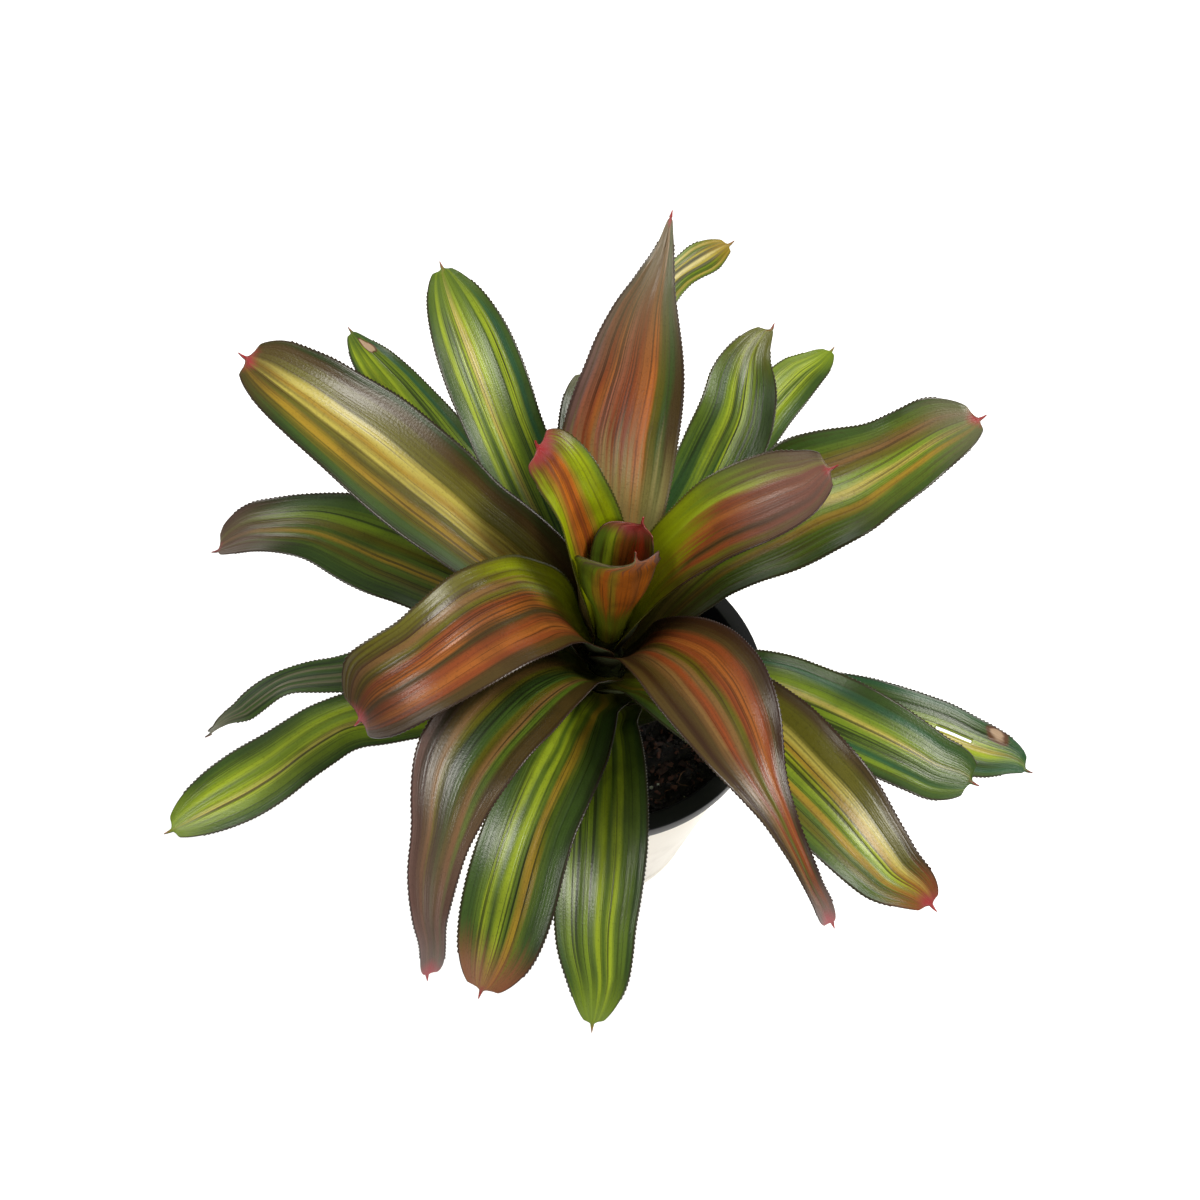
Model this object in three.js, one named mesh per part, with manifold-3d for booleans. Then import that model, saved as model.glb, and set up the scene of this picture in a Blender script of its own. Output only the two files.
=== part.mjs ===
// A potted tank bromeliad: a rosette of strap leaves on a short stem, in potting mix, in a black
// nursery pot whose rolled lip hangs over the rim of a white cover pot.
// Millimetres, +Z up. The origin is the centre of the cover pot's foot, on the surface it stands on.
import * as THREE from "three";
import { mergeVertices } from "three/addons/utils/BufferGeometryUtils.js";
import Module from "manifold-3d";

const wasm = await Module();
wasm.setup();

// Driving dimensions of the two pots.
const POT_SIDES = 36;
const LIP_RADIUS = 65;
const LIP_TOP = 116;
const LIP_THICKNESS = 2.2;
const LIP_SKIRT = 6.5;
const LIP_SKIRT_WALL = 1.5;
const LIP_ROUNDING = 1;
const SEAT_GAP = 0.3;
const COVER_FOOT_RADIUS = 47;
const COVER_WALL = 2.6;
const COVER_FLOOR = 4;
const COVER_ROUNDING = 1;
const COVER_TO_SKIRT = 0.8;
const COVER_TO_NURSERY = 0.5;
const NURSERY_WALL = 1.3;
const NURSERY_FOOT_RADIUS = 42;
const NURSERY_FLOOR_BOTTOM = 7;
const NURSERY_FLOOR = 1.8;
const DRAIN_HOLES = 6;
const DRAIN_HOLE_RADIUS = 4;
const DRAIN_CIRCLE_RADIUS = 28;
const DRAIN_HOLE_SIDES = 10;

// The potting mix and the stem that stands in it.
const MIX_LEVEL = 105;
const MIX_LUMP = 1.5;
// Radians per mm of the three waves whose sum makes the mix's lumps.
const MIX_WAVES = { across: 0.31, away: 0.27, slantAcross: 0.23, slantAway: -0.37 };
const MIX_LEVEL_BORDER = 6;
const MIX_TO_POT = 0.5;
const MIX_RINGS = 6;
const STEM_SIDES = 24;
const STEM_RINGS = 9;
const STEM_RING_DEPTH = 0.3;
const STEM_BURIED = 26;
const STEM_FOOT_TAPER = { inset: 2, height: 6 };
const STEM_TOP = 162;
const STEM_CROWN = { shoulder: 2, peak: 2.6 };
const STEM_RADIUS_LOW = 10.5;
const STEM_RADIUS_HIGH = 3.6;

// What all leaves share. Shares of the blade count from the end of its sheath to the root of its spine.
const LEAF_THICKNESS = 0.8;
const SHEATH_LENGTH = 22;
const CELLS_ACROSS = 6;
const SPINE_LENGTH = 4.5;
const SPINE_HALF_WIDTH = 0.55;
const MIDRIB_STEPS = 120;
const WAIST_WIDTH = 0.74;
const NECK_AT = 0.89;
const NECK_SPREAD_BELOW = 0.24;
const NECK_SPREAD_ABOVE = 0.14;
const TIP_BLUNTNESS = 3;
const TROUGH_OPENS_BY = 0.16;
const TROUGH_OPENING_POWER = 1.5;
const TIP_FOLDS_FROM = 0.6;
const RIPPLE_RADIANS = 19;
const RIPPLE_EDGE_SHIFT = 1.9;
const RIPPLE_GROWS = [0.1, 0.5];
const RIPPLE_CALMS = [0.86, 0.96];
const SHEATH_FREES_FROM = 0.45 * SHEATH_LENGTH;
const SHEATH_FREE_BY = 1.5 * SHEATH_LENGTH;
// Stations along a leaf, as shares of the way to the root of its spine. The spine's end is one more.
const STATIONS = [0, 0.05, 0.1, 0.17, 0.25, 0.34, 0.44, 0.54, 0.64, 0.74, 0.82, 0.89, 0.945, 0.98, 1];

// The leaves, from the youngest in the heart of the rosette to the oldest at its foot.
// heading: compass of the midrib seen from above, degrees from +X towards +Y.
// climb: angle of the midrib above the horizon at its sheath, at its middle and at its tip.
// turn: how far the midrib swings sideways by its middle and by its tip, positive to the left.
// length, width: along the midrib and across the widest part, mm. widest: where that is along the blade.
// channel: half the angle that the blade's trough spans at its sheath, middle and tip.
// pinch: share of the width that is drawn in just short of the tip. ripple: height of its wavy edges, mm.
const LEAVES = [
  { name: "leaf_heart_back", seat: 160, heading: 76, climb: [82, 84, 40], turn: [0, 0],
    length: 53, width: 25, widest: 0.6, channel: [62, 65, 70], pinch: 0, ripple: 0 },
  { name: "leaf_heart_front", seat: 157, heading: -84, climb: [84, 92, 96], turn: [0, 0],
    length: 61, width: 29, widest: 0.6, channel: [68, 60, 40], pinch: 0, ripple: 0 },
  { name: "leaf_heart_left", seat: 154, heading: 142, climb: [80, 72, 58], turn: [0, 26],
    length: 101, width: 30, widest: 0.75, channel: [64, 46, 70], pinch: 0, ripple: 0 },
  { name: "leaf_upper_right", seat: 151, heading: 14, climb: [74, 56, 12], turn: [0, 9],
    length: 120, width: 36, widest: 0.5, channel: [80, 35, 35], pinch: 0, ripple: 0.5 },
  { name: "leaf_upper_back", seat: 148, heading: 90, climb: [70, 54, 16], turn: [0, -9],
    length: 164, width: 41, widest: 0.45, channel: [75, 30, 50], pinch: 0.6, ripple: 1 },
  { name: "leaf_upper_front_left", seat: 145, heading: 223, climb: [70, 46, -58], turn: [0, -6],
    length: 146, width: 46, widest: 0.5, channel: [62, 24, 30], pinch: 0, ripple: 0.5 },
  { name: "leaf_upper_front_right", seat: 142, heading: -60, climb: [66, 30, -72], turn: [0, 15],
    length: 188, width: 39, widest: 0.4, channel: [62, 26, 60], pinch: 0.66, ripple: 1 },
  { name: "leaf_upper_left", seat: 139, heading: 168, climb: [64, 42, 12], turn: [0, -6],
    length: 182, width: 47, widest: 0.5, channel: [62, 22, 30], pinch: 0, ripple: 0.5 },
  { name: "leaf_upper_far_right", seat: 136, heading: 20, climb: [60, 40, 8], turn: [0, 12],
    length: 170, width: 42, widest: 0.5, channel: [60, 24, 30], pinch: 0, ripple: 2 },
  { name: "leaf_middle_front_left", seat: 133.8, heading: 242, climb: [56, 26, -78], turn: [0, 36],
    length: 186, width: 36, widest: 0.42, channel: [58, 26, 50], pinch: 0.6, ripple: 1 },
  { name: "leaf_middle_back_left", seat: 131.6, heading: 128, climb: [56, 42, 10], turn: [0, -7],
    length: 163, width: 32, widest: 0.5, channel: [58, 26, 30], pinch: 0, ripple: 0.6 },
  { name: "leaf_middle_right_low", seat: 129.4, heading: -44, climb: [52, 22, -30], turn: [0, 1],
    length: 174, width: 36, widest: 0.5, channel: [55, 24, 24], pinch: 0, ripple: 1 },
  { name: "leaf_middle_back_right", seat: 127.2, heading: 62.5, climb: [52, 38, 10], turn: [0, 10],
    length: 145, width: 31, widest: 0.5, channel: [55, 26, 30], pinch: 0.15, ripple: 1.5 },
  { name: "leaf_middle_left", seat: 125, heading: 173, climb: [50, 28, -38], turn: [0, 14],
    length: 166, width: 39, widest: 0.5, channel: [52, 24, 30], pinch: 0.1, ripple: 1 },
  { name: "leaf_middle_front", seat: 122.8, heading: 259, climb: [48, 14, -40], turn: [0, -4],
    length: 158, width: 35, widest: 0.55, channel: [50, 22, 22], pinch: 0, ripple: 0.5 },
  { name: "leaf_middle_right", seat: 120.8, heading: -25, climb: [48, 18, -16], turn: [0, 3],
    length: 154, width: 32, widest: 0.5, channel: [48, 22, 22], pinch: 0, ripple: 0.6 },
  { name: "leaf_lower_back", seat: 118.9, heading: 101, climb: [50, 34, 6], turn: [0, 0],
    length: 119, width: 32, widest: 0.5, channel: [46, 22, 22], pinch: 0, ripple: 0.5 },
  { name: "leaf_lower_front", seat: 117, heading: 273, climb: [44, 8, -35], turn: [0, 0],
    length: 154, width: 33, widest: 0.5, channel: [46, 22, 22], pinch: 0, ripple: 0.5 },
  { name: "leaf_lower_far_back", seat: 115.2, heading: 97, climb: [43, 12, 12], turn: [0, -62],
    length: 192, width: 24, widest: 0.5, channel: [45, 22, 22], pinch: 0, ripple: 0.8 },
  { name: "leaf_lower_left", seat: 113.5, heading: 199, climb: [42, 14, -44], turn: [0, 9],
    length: 158, width: 22, widest: 0.5, channel: [40, 26, 50], pinch: 0.2, ripple: 1 },
  { name: "leaf_lower_back_left", seat: 111.9, heading: 135, climb: [42, 18, -5], turn: [0, -1],
    length: 174, width: 27, widest: 0.5, channel: [40, 22, 22], pinch: 0, ripple: 1 },
  { name: "leaf_lower_back_right", seat: 110.3, heading: 60, climb: [40, 18, -5], turn: [0, 0],
    length: 167, width: 26, widest: 0.5, channel: [45, 22, 22], pinch: 0, ripple: 0.8 },
  { name: "leaf_lower_front_left", seat: 108.8, heading: 212, climb: [40, 4, -14], turn: [0, 3],
    length: 177, width: 27, widest: 0.5, channel: [45, 20, 20], pinch: 0, ripple: 0.6 },
  { name: "leaf_lower_right", seat: 107.3, heading: -11, climb: [38, 6, -18], turn: [0, -4],
    length: 166, width: 28, widest: 0.5, channel: [45, 20, 20], pinch: 0, ripple: 0.8 },
];

const radians = THREE.MathUtils.degToRad;
const clamp01 = (x) => Math.min(Math.max(x, 0), 1);
const smooth = (low, high, x) => {
  const s = clamp01((x - low) / (high - low));
  return s * s * (3 - 2 * s);
};
const mix = (a, b, share) => a + (b - a) * share;
// A curve that leaves a, leans towards b and ends at c.
const lean = ([a, b, c], s) => (1 - s) * (1 - s) * a + 2 * s * (1 - s) * b + s * s * c;

const stemRadius = (z) =>
  mix(STEM_RADIUS_LOW, STEM_RADIUS_HIGH, clamp01((z - MIX_LEVEL) / (STEM_TOP - MIX_LEVEL)));

// The midrib as evenly spaced points, each with its sideways and upward directions.
function midrib(leaf) {
  const step = leaf.length / MIDRIB_STEPS;
  const heading = radians(leaf.heading);
  const sheathClimb = radians(leaf.climb[0]);
  const start = stemRadius(leaf.seat) + SEAT_GAP + (LEAF_THICKNESS / 2) / Math.sin(sheathClimb);
  const at = new THREE.Vector3(start * Math.cos(heading), start * Math.sin(heading), leaf.seat);
  const points = [];
  for (let i = 0; i <= MIDRIB_STEPS; i++) {
    const along = i * step;
    const blade = clamp01((along - SHEATH_LENGTH) / (leaf.length - SPINE_LENGTH - SHEATH_LENGTH));
    const climb = radians(lean(leaf.climb, blade));
    const way = heading + radians(lean([0, leaf.turn[0], leaf.turn[1]], blade));
    const forward = new THREE.Vector3(
      Math.cos(climb) * Math.cos(way), Math.cos(climb) * Math.sin(way), Math.sin(climb));
    const side = new THREE.Vector3(-Math.sin(way), Math.cos(way), 0);
    const up = new THREE.Vector3().crossVectors(forward, side);
    points.push({ at: at.clone(), side, up, along, blade });
    at.addScaledVector(forward, step);
  }
  return points;
}

// Half the blade's width at a share of its length, as a share of the widest.
function outline(leaf, blade) {
  const spread = blade < NECK_AT ? NECK_SPREAD_BELOW : NECK_SPREAD_ABOVE;
  const pinch = 1 - leaf.pinch * Math.exp(-(((blade - NECK_AT) / spread) ** 2));
  if (blade < leaf.widest) {
    return pinch * mix(WAIST_WIDTH, 1, Math.sin((Math.PI / 2) * (blade / leaf.widest)));
  }
  const toTip = clamp01((blade - leaf.widest) / (1 - leaf.widest));
  return pinch * Math.sqrt(1 - toTip ** TIP_BLUNTNESS);
}

// How far the leaf's edge stands above its trough because it is wavy. Each leaf's heading shifts its waves.
function ripple(leaf, blade, t) {
  const phase = blade * RIPPLE_RADIANS + leaf.heading + (t > 0 ? RIPPLE_EDGE_SHIFT : 0);
  const fade = smooth(...RIPPLE_GROWS, blade) * (1 - smooth(...RIPPLE_CALMS, blade));
  return leaf.ripple * Math.sin(phase) * Math.abs(t) ** 3 * fade;
}

// A point of the leaf's middle surface: u runs from the seat to the tip, t from one edge to the other.
function leafPoint(leaf, points, u, t) {
  const place = clamp01(u) * MIDRIB_STEPS;
  const low = Math.min(Math.floor(place), MIDRIB_STEPS - 1);
  const share = place - low;
  const a = points[low];
  const b = points[low + 1];
  const at = a.at.clone().lerp(b.at, share);
  const side = a.side.clone().lerp(b.side, share).normalize();
  const up = a.up.clone().lerp(b.up, share).normalize();
  const along = mix(a.along, b.along, share);
  const blade = mix(a.blade, b.blade, share);

  // In the sheath the leaf is part of a cone round the stem.
  const sheathHalf = radians(leaf.channel[0]);
  const distance = Math.hypot(at.x, at.y);
  const bearing = Math.atan2(at.y, at.x) + sheathHalf * t;
  const cone = new THREE.Vector3(distance * Math.cos(bearing), distance * Math.sin(bearing), at.z);

  // In the blade it is a trough across the midrib, which opens as it leaves the sheath.
  const opened = radians(mix(leaf.channel[1], leaf.channel[2], smooth(TIP_FOLDS_FROM, 1, blade)));
  const half = mix(opened, sheathHalf, Math.exp(-((blade / TROUGH_OPENS_BY) ** TROUGH_OPENING_POWER)));
  const halfWidth = Math.max((leaf.width / 2) * outline(leaf, blade), SPINE_HALF_WIDTH);
  const across = (halfWidth / half) * Math.sin(half * t);
  const rise = (halfWidth / half) * (1 - Math.cos(half * t)) + ripple(leaf, blade, t);
  const trough = at.clone().addScaledVector(side, across).addScaledVector(up, rise);
  return cone.lerp(trough, smooth(SHEATH_FREES_FROM, SHEATH_FREE_BY, along));
}

// The leaf as a closed solid: its middle surface thickened to both sides.
function leafGeometry(leaf) {
  const points = midrib(leaf);
  const spineRoot = 1 - SPINE_LENGTH / leaf.length;
  const stations = [...STATIONS.map((share) => share * spineRoot), 1];
  const reach = 1e-3;
  const upper = [];
  const lower = [];
  for (const u of stations) {
    for (let j = 0; j <= CELLS_ACROSS; j++) {
      const t = (2 * j) / CELLS_ACROSS - 1;
      const middle = leafPoint(leaf, points, u, t);
      const along = leafPoint(leaf, points, Math.min(u + reach, 1), t)
        .sub(leafPoint(leaf, points, Math.max(u - reach, 0), t));
      const across = leafPoint(leaf, points, u, t + reach).sub(leafPoint(leaf, points, u, t - reach));
      const normal = along.cross(across).normalize();
      upper.push(middle.clone().addScaledVector(normal, LEAF_THICKNESS / 2));
      lower.push(middle.clone().addScaledVector(normal, -LEAF_THICKNESS / 2));
    }
  }
  // Both faces are split into triangles along the same diagonals, so that a waved blade never crosses itself.
  const columns = CELLS_ACROSS + 1;
  const top = (i, j) => i * columns + j;
  const bottom = (i, j) => stations.length * columns + top(i, j);
  const index = [];
  const quad = (a, b, c, d) => index.push(a, b, c, a, c, d);
  const last = stations.length - 1;
  for (let i = 0; i < last; i++) {
    for (let j = 0; j < CELLS_ACROSS; j++) {
      quad(top(i, j), top(i + 1, j), top(i + 1, j + 1), top(i, j + 1));
      index.push(bottom(i, j), bottom(i + 1, j + 1), bottom(i + 1, j));
      index.push(bottom(i, j), bottom(i, j + 1), bottom(i + 1, j + 1));
    }
    const right = CELLS_ACROSS;
    quad(bottom(i, 0), bottom(i + 1, 0), top(i + 1, 0), top(i, 0));
    quad(top(i, right), top(i + 1, right), bottom(i + 1, right), bottom(i, right));
  }
  for (let j = 0; j < CELLS_ACROSS; j++) {
    quad(top(0, j), top(0, j + 1), bottom(0, j + 1), bottom(0, j));
    quad(top(last, j + 1), top(last, j), bottom(last, j), bottom(last, j + 1));
  }
  const geometry = new THREE.BufferGeometry();
  geometry.setFromPoints([...upper, ...lower]);
  geometry.setIndex(index);
  geometry.computeVertexNormals();
  return geometry;
}

// A closed profile of [radius, height] points, turned about the upright axis.
function turned(profile, sides = POT_SIDES) {
  const closed = profile[0][0] > 0 ? [...profile, profile[0]] : profile;
  const geometry = new THREE.LatheGeometry(closed.map(([r, z]) => new THREE.Vector2(r, z)), sides);
  return geometry.rotateX(Math.PI / 2);
}

// Three.js geometry to a solid that can be cut, and back.
function solidOf(geometry) {
  const bare = geometry.clone();
  bare.deleteAttribute("normal");
  bare.deleteAttribute("uv");
  const merged = mergeVertices(bare, 1e-4);
  return new wasm.Manifold(new wasm.Mesh({
    numProp: 3,
    vertProperties: new Float32Array(merged.attributes.position.array),
    triVerts: new Uint32Array(merged.index.array),
  }));
}

function geometryOf(solid) {
  const mesh = solid.getMesh();
  const geometry = new THREE.BufferGeometry();
  geometry.setAttribute("position", new THREE.BufferAttribute(mesh.vertProperties, 3));
  geometry.setIndex(new THREE.BufferAttribute(mesh.triVerts, 1));
  geometry.computeVertexNormals();
  return geometry;
}

// Where the nursery pot's lip sits on the cover pot's rim.
const LIP_UNDERSIDE = LIP_TOP - LIP_THICKNESS;
const LIP_INNER_RADIUS = LIP_RADIUS - LIP_SKIRT_WALL;
const COVER_RIM_TOP = LIP_UNDERSIDE - SEAT_GAP;
const COVER_RIM_RADIUS = LIP_INNER_RADIUS - COVER_TO_SKIRT;
const NURSERY_RIM_RADIUS = COVER_RIM_RADIUS - COVER_WALL - COVER_TO_NURSERY;
const NURSERY_FLOOR_TOP = NURSERY_FLOOR_BOTTOM + NURSERY_FLOOR;

// White cover pot: a plain tapered cup with a softened foot and rim.
function coverPot() {
  return turned([
    [0, 0],
    [COVER_FOOT_RADIUS - COVER_ROUNDING, 0],
    [COVER_FOOT_RADIUS, COVER_ROUNDING],
    [COVER_RIM_RADIUS, COVER_RIM_TOP - COVER_ROUNDING],
    [COVER_RIM_RADIUS - COVER_ROUNDING, COVER_RIM_TOP],
    [COVER_RIM_RADIUS - COVER_WALL, COVER_RIM_TOP],
    [COVER_FOOT_RADIUS - COVER_WALL, COVER_FLOOR],
    [0, COVER_FLOOR],
  ]);
}

// Black nursery pot: a thin tapered cup with drain holes, and a lip that turns out and down.
function nurseryPot() {
  let pot = solidOf(turned([
    [0, NURSERY_FLOOR_BOTTOM],
    [NURSERY_FOOT_RADIUS, NURSERY_FLOOR_BOTTOM],
    [NURSERY_RIM_RADIUS, LIP_UNDERSIDE],
    [LIP_INNER_RADIUS, LIP_UNDERSIDE],
    [LIP_INNER_RADIUS, LIP_TOP - LIP_SKIRT],
    [LIP_RADIUS, LIP_TOP - LIP_SKIRT],
    [LIP_RADIUS, LIP_TOP - LIP_ROUNDING],
    [LIP_RADIUS - LIP_ROUNDING, LIP_TOP],
    [NURSERY_RIM_RADIUS - NURSERY_WALL, LIP_TOP],
    [NURSERY_FOOT_RADIUS - NURSERY_WALL, NURSERY_FLOOR_TOP],
    [0, NURSERY_FLOOR_TOP],
  ]));
  for (let i = 0; i < DRAIN_HOLES; i++) {
    const angle = (2 * Math.PI * i) / DRAIN_HOLES;
    const drill = new THREE.CylinderGeometry(
      DRAIN_HOLE_RADIUS, DRAIN_HOLE_RADIUS, 4 * NURSERY_FLOOR, DRAIN_HOLE_SIDES);
    drill.rotateX(Math.PI / 2);
    drill.translate(
      DRAIN_CIRCLE_RADIUS * Math.cos(angle), DRAIN_CIRCLE_RADIUS * Math.sin(angle), NURSERY_FLOOR_TOP);
    pot = pot.subtract(solidOf(drill));
  }
  return geometryOf(pot);
}

// Inner radius of the nursery pot at a height.
const nurseryInside = (z) => mix(
  NURSERY_FOOT_RADIUS - NURSERY_WALL, NURSERY_RIM_RADIUS - NURSERY_WALL,
  (z - NURSERY_FLOOR_TOP) / (LIP_TOP - NURSERY_FLOOR_TOP));

// Potting mix: fills the nursery pot to a lumpy surface, with a plain hole for the stem.
function pottingMix() {
  const floor = NURSERY_FLOOR_TOP + SEAT_GAP;
  const hole = STEM_RADIUS_LOW + SEAT_GAP;
  const holeFloor = MIX_LEVEL - STEM_BURIED - SEAT_GAP;
  const wall = nurseryInside(MIX_LEVEL) - MIX_TO_POT;
  const surface = [];
  for (let i = 0; i <= MIX_RINGS; i++) {
    surface.push([mix(wall, hole, i / MIX_RINGS), MIX_LEVEL]);
  }
  const geometry = turned([
    [0, floor],
    [nurseryInside(floor) - MIX_TO_POT, floor],
    ...surface,
    [hole, holeFloor],
    [0, holeFloor],
  ]);
  // The lumps and hollows fade out at the pot's wall and at the stem.
  const corner = new THREE.Vector3();
  const place = geometry.attributes.position;
  for (let i = 0; i < place.count; i++) {
    corner.fromBufferAttribute(place, i);
    if (Math.abs(corner.z - MIX_LEVEL) > SEAT_GAP) continue;
    const out = Math.hypot(corner.x, corner.y);
    const fade = smooth(wall, wall - MIX_LEVEL_BORDER, out) * smooth(hole, hole + MIX_LEVEL_BORDER, out);
    const lumps = Math.sin(MIX_WAVES.across * corner.x) * Math.cos(MIX_WAVES.away * corner.y)
      + Math.sin(MIX_WAVES.slantAcross * corner.x + MIX_WAVES.slantAway * corner.y);
    place.setZ(i, MIX_LEVEL + fade * MIX_LUMP * lumps);
  }
  return geometry;
}

// Stem: a stout tapered stock with the rings that fallen leaves left on it.
function stem() {
  const foot = MIX_LEVEL - STEM_BURIED;
  const profile = [[0, foot], [STEM_RADIUS_LOW - STEM_FOOT_TAPER.inset, foot]];
  for (let i = 0; i <= STEM_RINGS; i++) {
    const z = mix(foot + STEM_FOOT_TAPER.height, STEM_TOP, i / STEM_RINGS);
    profile.push([stemRadius(z) - (i % 2) * STEM_RING_DEPTH, z]);
  }
  profile.push([STEM_RADIUS_HIGH / 2, STEM_TOP + STEM_CROWN.shoulder], [0, STEM_TOP + STEM_CROWN.peak]);
  return turned(profile, STEM_SIDES);
}

const COVER_WHITE = [0xe9e5e0, 0.35];
const NURSERY_BLACK = [0x15151a, 0.45];
const MIX_BROWN = [0x1f1714, 0.95];
const STEM_GREEN = [0x3c4a22, 0.7];
const LEAF_FINISHES = {
  leaf_heart: [0x6d6a26, 0.36],
  leaf_upper: [0x7a5a2c, 0.38],
  leaf_middle: [0x5f7f28, 0.4],
  leaf_lower: [0x4a6f2a, 0.45],
};

const plant = new THREE.Group();
function add(name, geometry, [color, roughness]) {
  const material = new THREE.MeshStandardMaterial({ color, roughness, metalness: 0 });
  const mesh = new THREE.Mesh(geometry, material);
  mesh.name = name;
  plant.add(mesh);
}

add("cover_pot", coverPot(), COVER_WHITE);
add("nursery_pot", nurseryPot(), NURSERY_BLACK);
add("potting_mix", pottingMix(), MIX_BROWN);
add("stem", stem(), STEM_GREEN);
for (const leaf of LEAVES) {
  const layer = leaf.name.split("_").slice(0, 2).join("_");
  add(leaf.name, leafGeometry(leaf), LEAF_FINISHES[layer]);
}

export default plant;
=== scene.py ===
# %% [markdown]
# # A potted bromeliad
# The plant is a rosette of strap leaves on a short stem. It stands in dark potting mix in a black
# nursery pot, and that pot hangs by its lip in a white cover pot. The CAD model already holds every
# piece at its real size, so this lesson only dresses it: each plain solid is replaced by a finer
# piece of the same form, with the colours and the small relief that the real plant has.

# %% Load the frame
import math
import random

import bpy
import numpy as np
from mathutils import Matrix, Vector


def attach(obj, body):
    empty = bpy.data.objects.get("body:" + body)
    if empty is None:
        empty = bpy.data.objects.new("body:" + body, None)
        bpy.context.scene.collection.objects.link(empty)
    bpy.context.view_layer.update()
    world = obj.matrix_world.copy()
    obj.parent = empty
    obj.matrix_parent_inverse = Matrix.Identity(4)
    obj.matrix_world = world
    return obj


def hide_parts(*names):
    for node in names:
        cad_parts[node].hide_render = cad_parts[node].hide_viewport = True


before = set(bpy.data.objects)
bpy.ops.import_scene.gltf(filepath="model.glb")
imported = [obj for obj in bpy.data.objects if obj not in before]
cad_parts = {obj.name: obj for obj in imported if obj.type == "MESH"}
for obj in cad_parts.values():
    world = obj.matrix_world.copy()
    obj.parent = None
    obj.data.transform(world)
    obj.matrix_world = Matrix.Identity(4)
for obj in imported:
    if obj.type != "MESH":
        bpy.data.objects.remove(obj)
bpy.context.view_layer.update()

BODY = "root"

# %% [markdown]
# ## The camera
# The photograph looks down on the plant at about 59 degrees and is turned a little, as a picture
# taken by hand is. A camera can be aimed with constraints, but here its three axes are worked out
# and put into its matrix, so that the turn is exact and nothing has to be evaluated.

# %% Camera
CAMERA_RISE = math.radians(59)
CAMERA_ROLL = math.radians(6)
CAMERA_DISTANCE = 0.72
CAMERA_ASIDE = 0.005
CAMERA_ABOVE = 0.092
FIELD_OF_VIEW = math.radians(42)


def make_camera():
    backwards = Vector((0, -math.cos(CAMERA_RISE), math.sin(CAMERA_RISE)))
    level_right = Vector((1, 0, 0))
    level_up = backwards.cross(level_right)
    right = math.cos(CAMERA_ROLL) * level_right + math.sin(CAMERA_ROLL) * level_up
    up = backwards.cross(right)
    data = bpy.data.cameras.new("photo_camera")
    data.sensor_fit = "HORIZONTAL"
    data.angle = FIELD_OF_VIEW
    camera = bpy.data.objects.new("photo_camera", data)
    bpy.context.scene.collection.objects.link(camera)
    place = CAMERA_ASIDE * right + CAMERA_ABOVE * up + CAMERA_DISTANCE * backwards
    turn = Matrix((right, up, backwards)).transposed().to_4x4()
    camera.matrix_world = Matrix.Translation(place) @ turn
    bpy.context.scene.camera = camera
    return camera


camera = make_camera()
print("camera at", [round(v, 3) for v in camera.matrix_world.translation])

# %% [markdown]
# ## Floor and light
# The photograph has a white ground and soft light: milky patches lie on the leaves where they face a
# broad light overhead, and on the steep bases where they face the viewer's side. Large area lights
# give such patches, small ones would give hard glints. On the tall back leaf's base the milky patch is
# also a painted highlight in the leaf's colour. The Standard view keeps greens saturated.

# %% Floor and lights
FLOOR_SIZE = 6.0
FLOOR_WHITE = (0.92, 0.92, 0.92, 1)
FLOOR_ROUGHNESS = 0.9
FLOOR_GLOW = 0.55
WHITE = (1, 1, 1, 1)
LIGHTS = {
    "overhead_right": dict(place=(0.55, 0.15, 1.2), size=0.4, power=11, tint=(1, 0.97, 0.91)),
    "overhead_left": dict(place=(-0.8, 0.15, 1.05), size=0.4, power=5, tint=(1, 0.97, 0.91)),
    "window": dict(place=(0.05, -1.35, 0.75), size=0.8, power=4.5, tint=(0.96, 0.98, 1)),
    "side": dict(place=(1.25, 0.75, 0.5), size=0.3, power=4.5, tint=(1, 0.97, 0.93)),
    "far_side": dict(place=(-1.1, 0.95, 0.45), size=0.5, power=1.8, tint=(1, 0.98, 0.95)),
}
AIM = Vector((0, 0, 0.17))
WORLD_STRENGTH = 0.24


def make_floor():
    bpy.ops.mesh.primitive_plane_add(size=FLOOR_SIZE, location=(0, 0, 0))
    floor = bpy.context.object
    floor.name = "floor"
    paint = bpy.data.materials.new("pale_floor")
    paint.use_nodes = True
    shader = paint.node_tree.nodes["Principled BSDF"]
    shader.inputs["Base Color"].default_value = FLOOR_WHITE
    shader.inputs["Roughness"].default_value = FLOOR_ROUGHNESS
    shader.inputs["Emission Color"].default_value = WHITE
    shader.inputs["Emission Strength"].default_value = FLOOR_GLOW
    floor.data.materials.append(paint)


def make_light(name, place, size, power, tint):
    data = bpy.data.lights.new(name, "AREA")
    data.size = size
    data.energy = power
    data.color = tint
    lamp = bpy.data.objects.new(name, data)
    lamp.location = place
    lamp.rotation_euler = (AIM - Vector(place)).to_track_quat("-Z", "Y").to_euler()
    bpy.context.scene.collection.objects.link(lamp)


bpy.ops.object.select_all(action="DESELECT")
make_floor()
for name, facts in LIGHTS.items():
    make_light(name, **facts)
world = bpy.data.worlds.new("studio")
world.use_nodes = True
world.node_tree.nodes["Background"].inputs["Color"].default_value = WHITE
world.node_tree.nodes["Background"].inputs["Strength"].default_value = WORLD_STRENGTH
bpy.context.scene.world = world
bpy.context.scene.view_settings.view_transform = "Standard"
print(len(LIGHTS), "lights, world strength", WORLD_STRENGTH)

# %% [markdown]
# ## Helpers for shader nodes
# A material can be wired by hand in the Shader Editor. In code, a small board that adds one node per
# call keeps the wiring readable: each method returns the socket that the next one takes in.


# %% Shader board
# A Mix node has sockets of every kind. These are the numbers of the ones that it uses for colours.
MIX_SHARE, MIX_LOW, MIX_HIGH, MIX_RESULT = 0, 6, 7, 2


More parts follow.
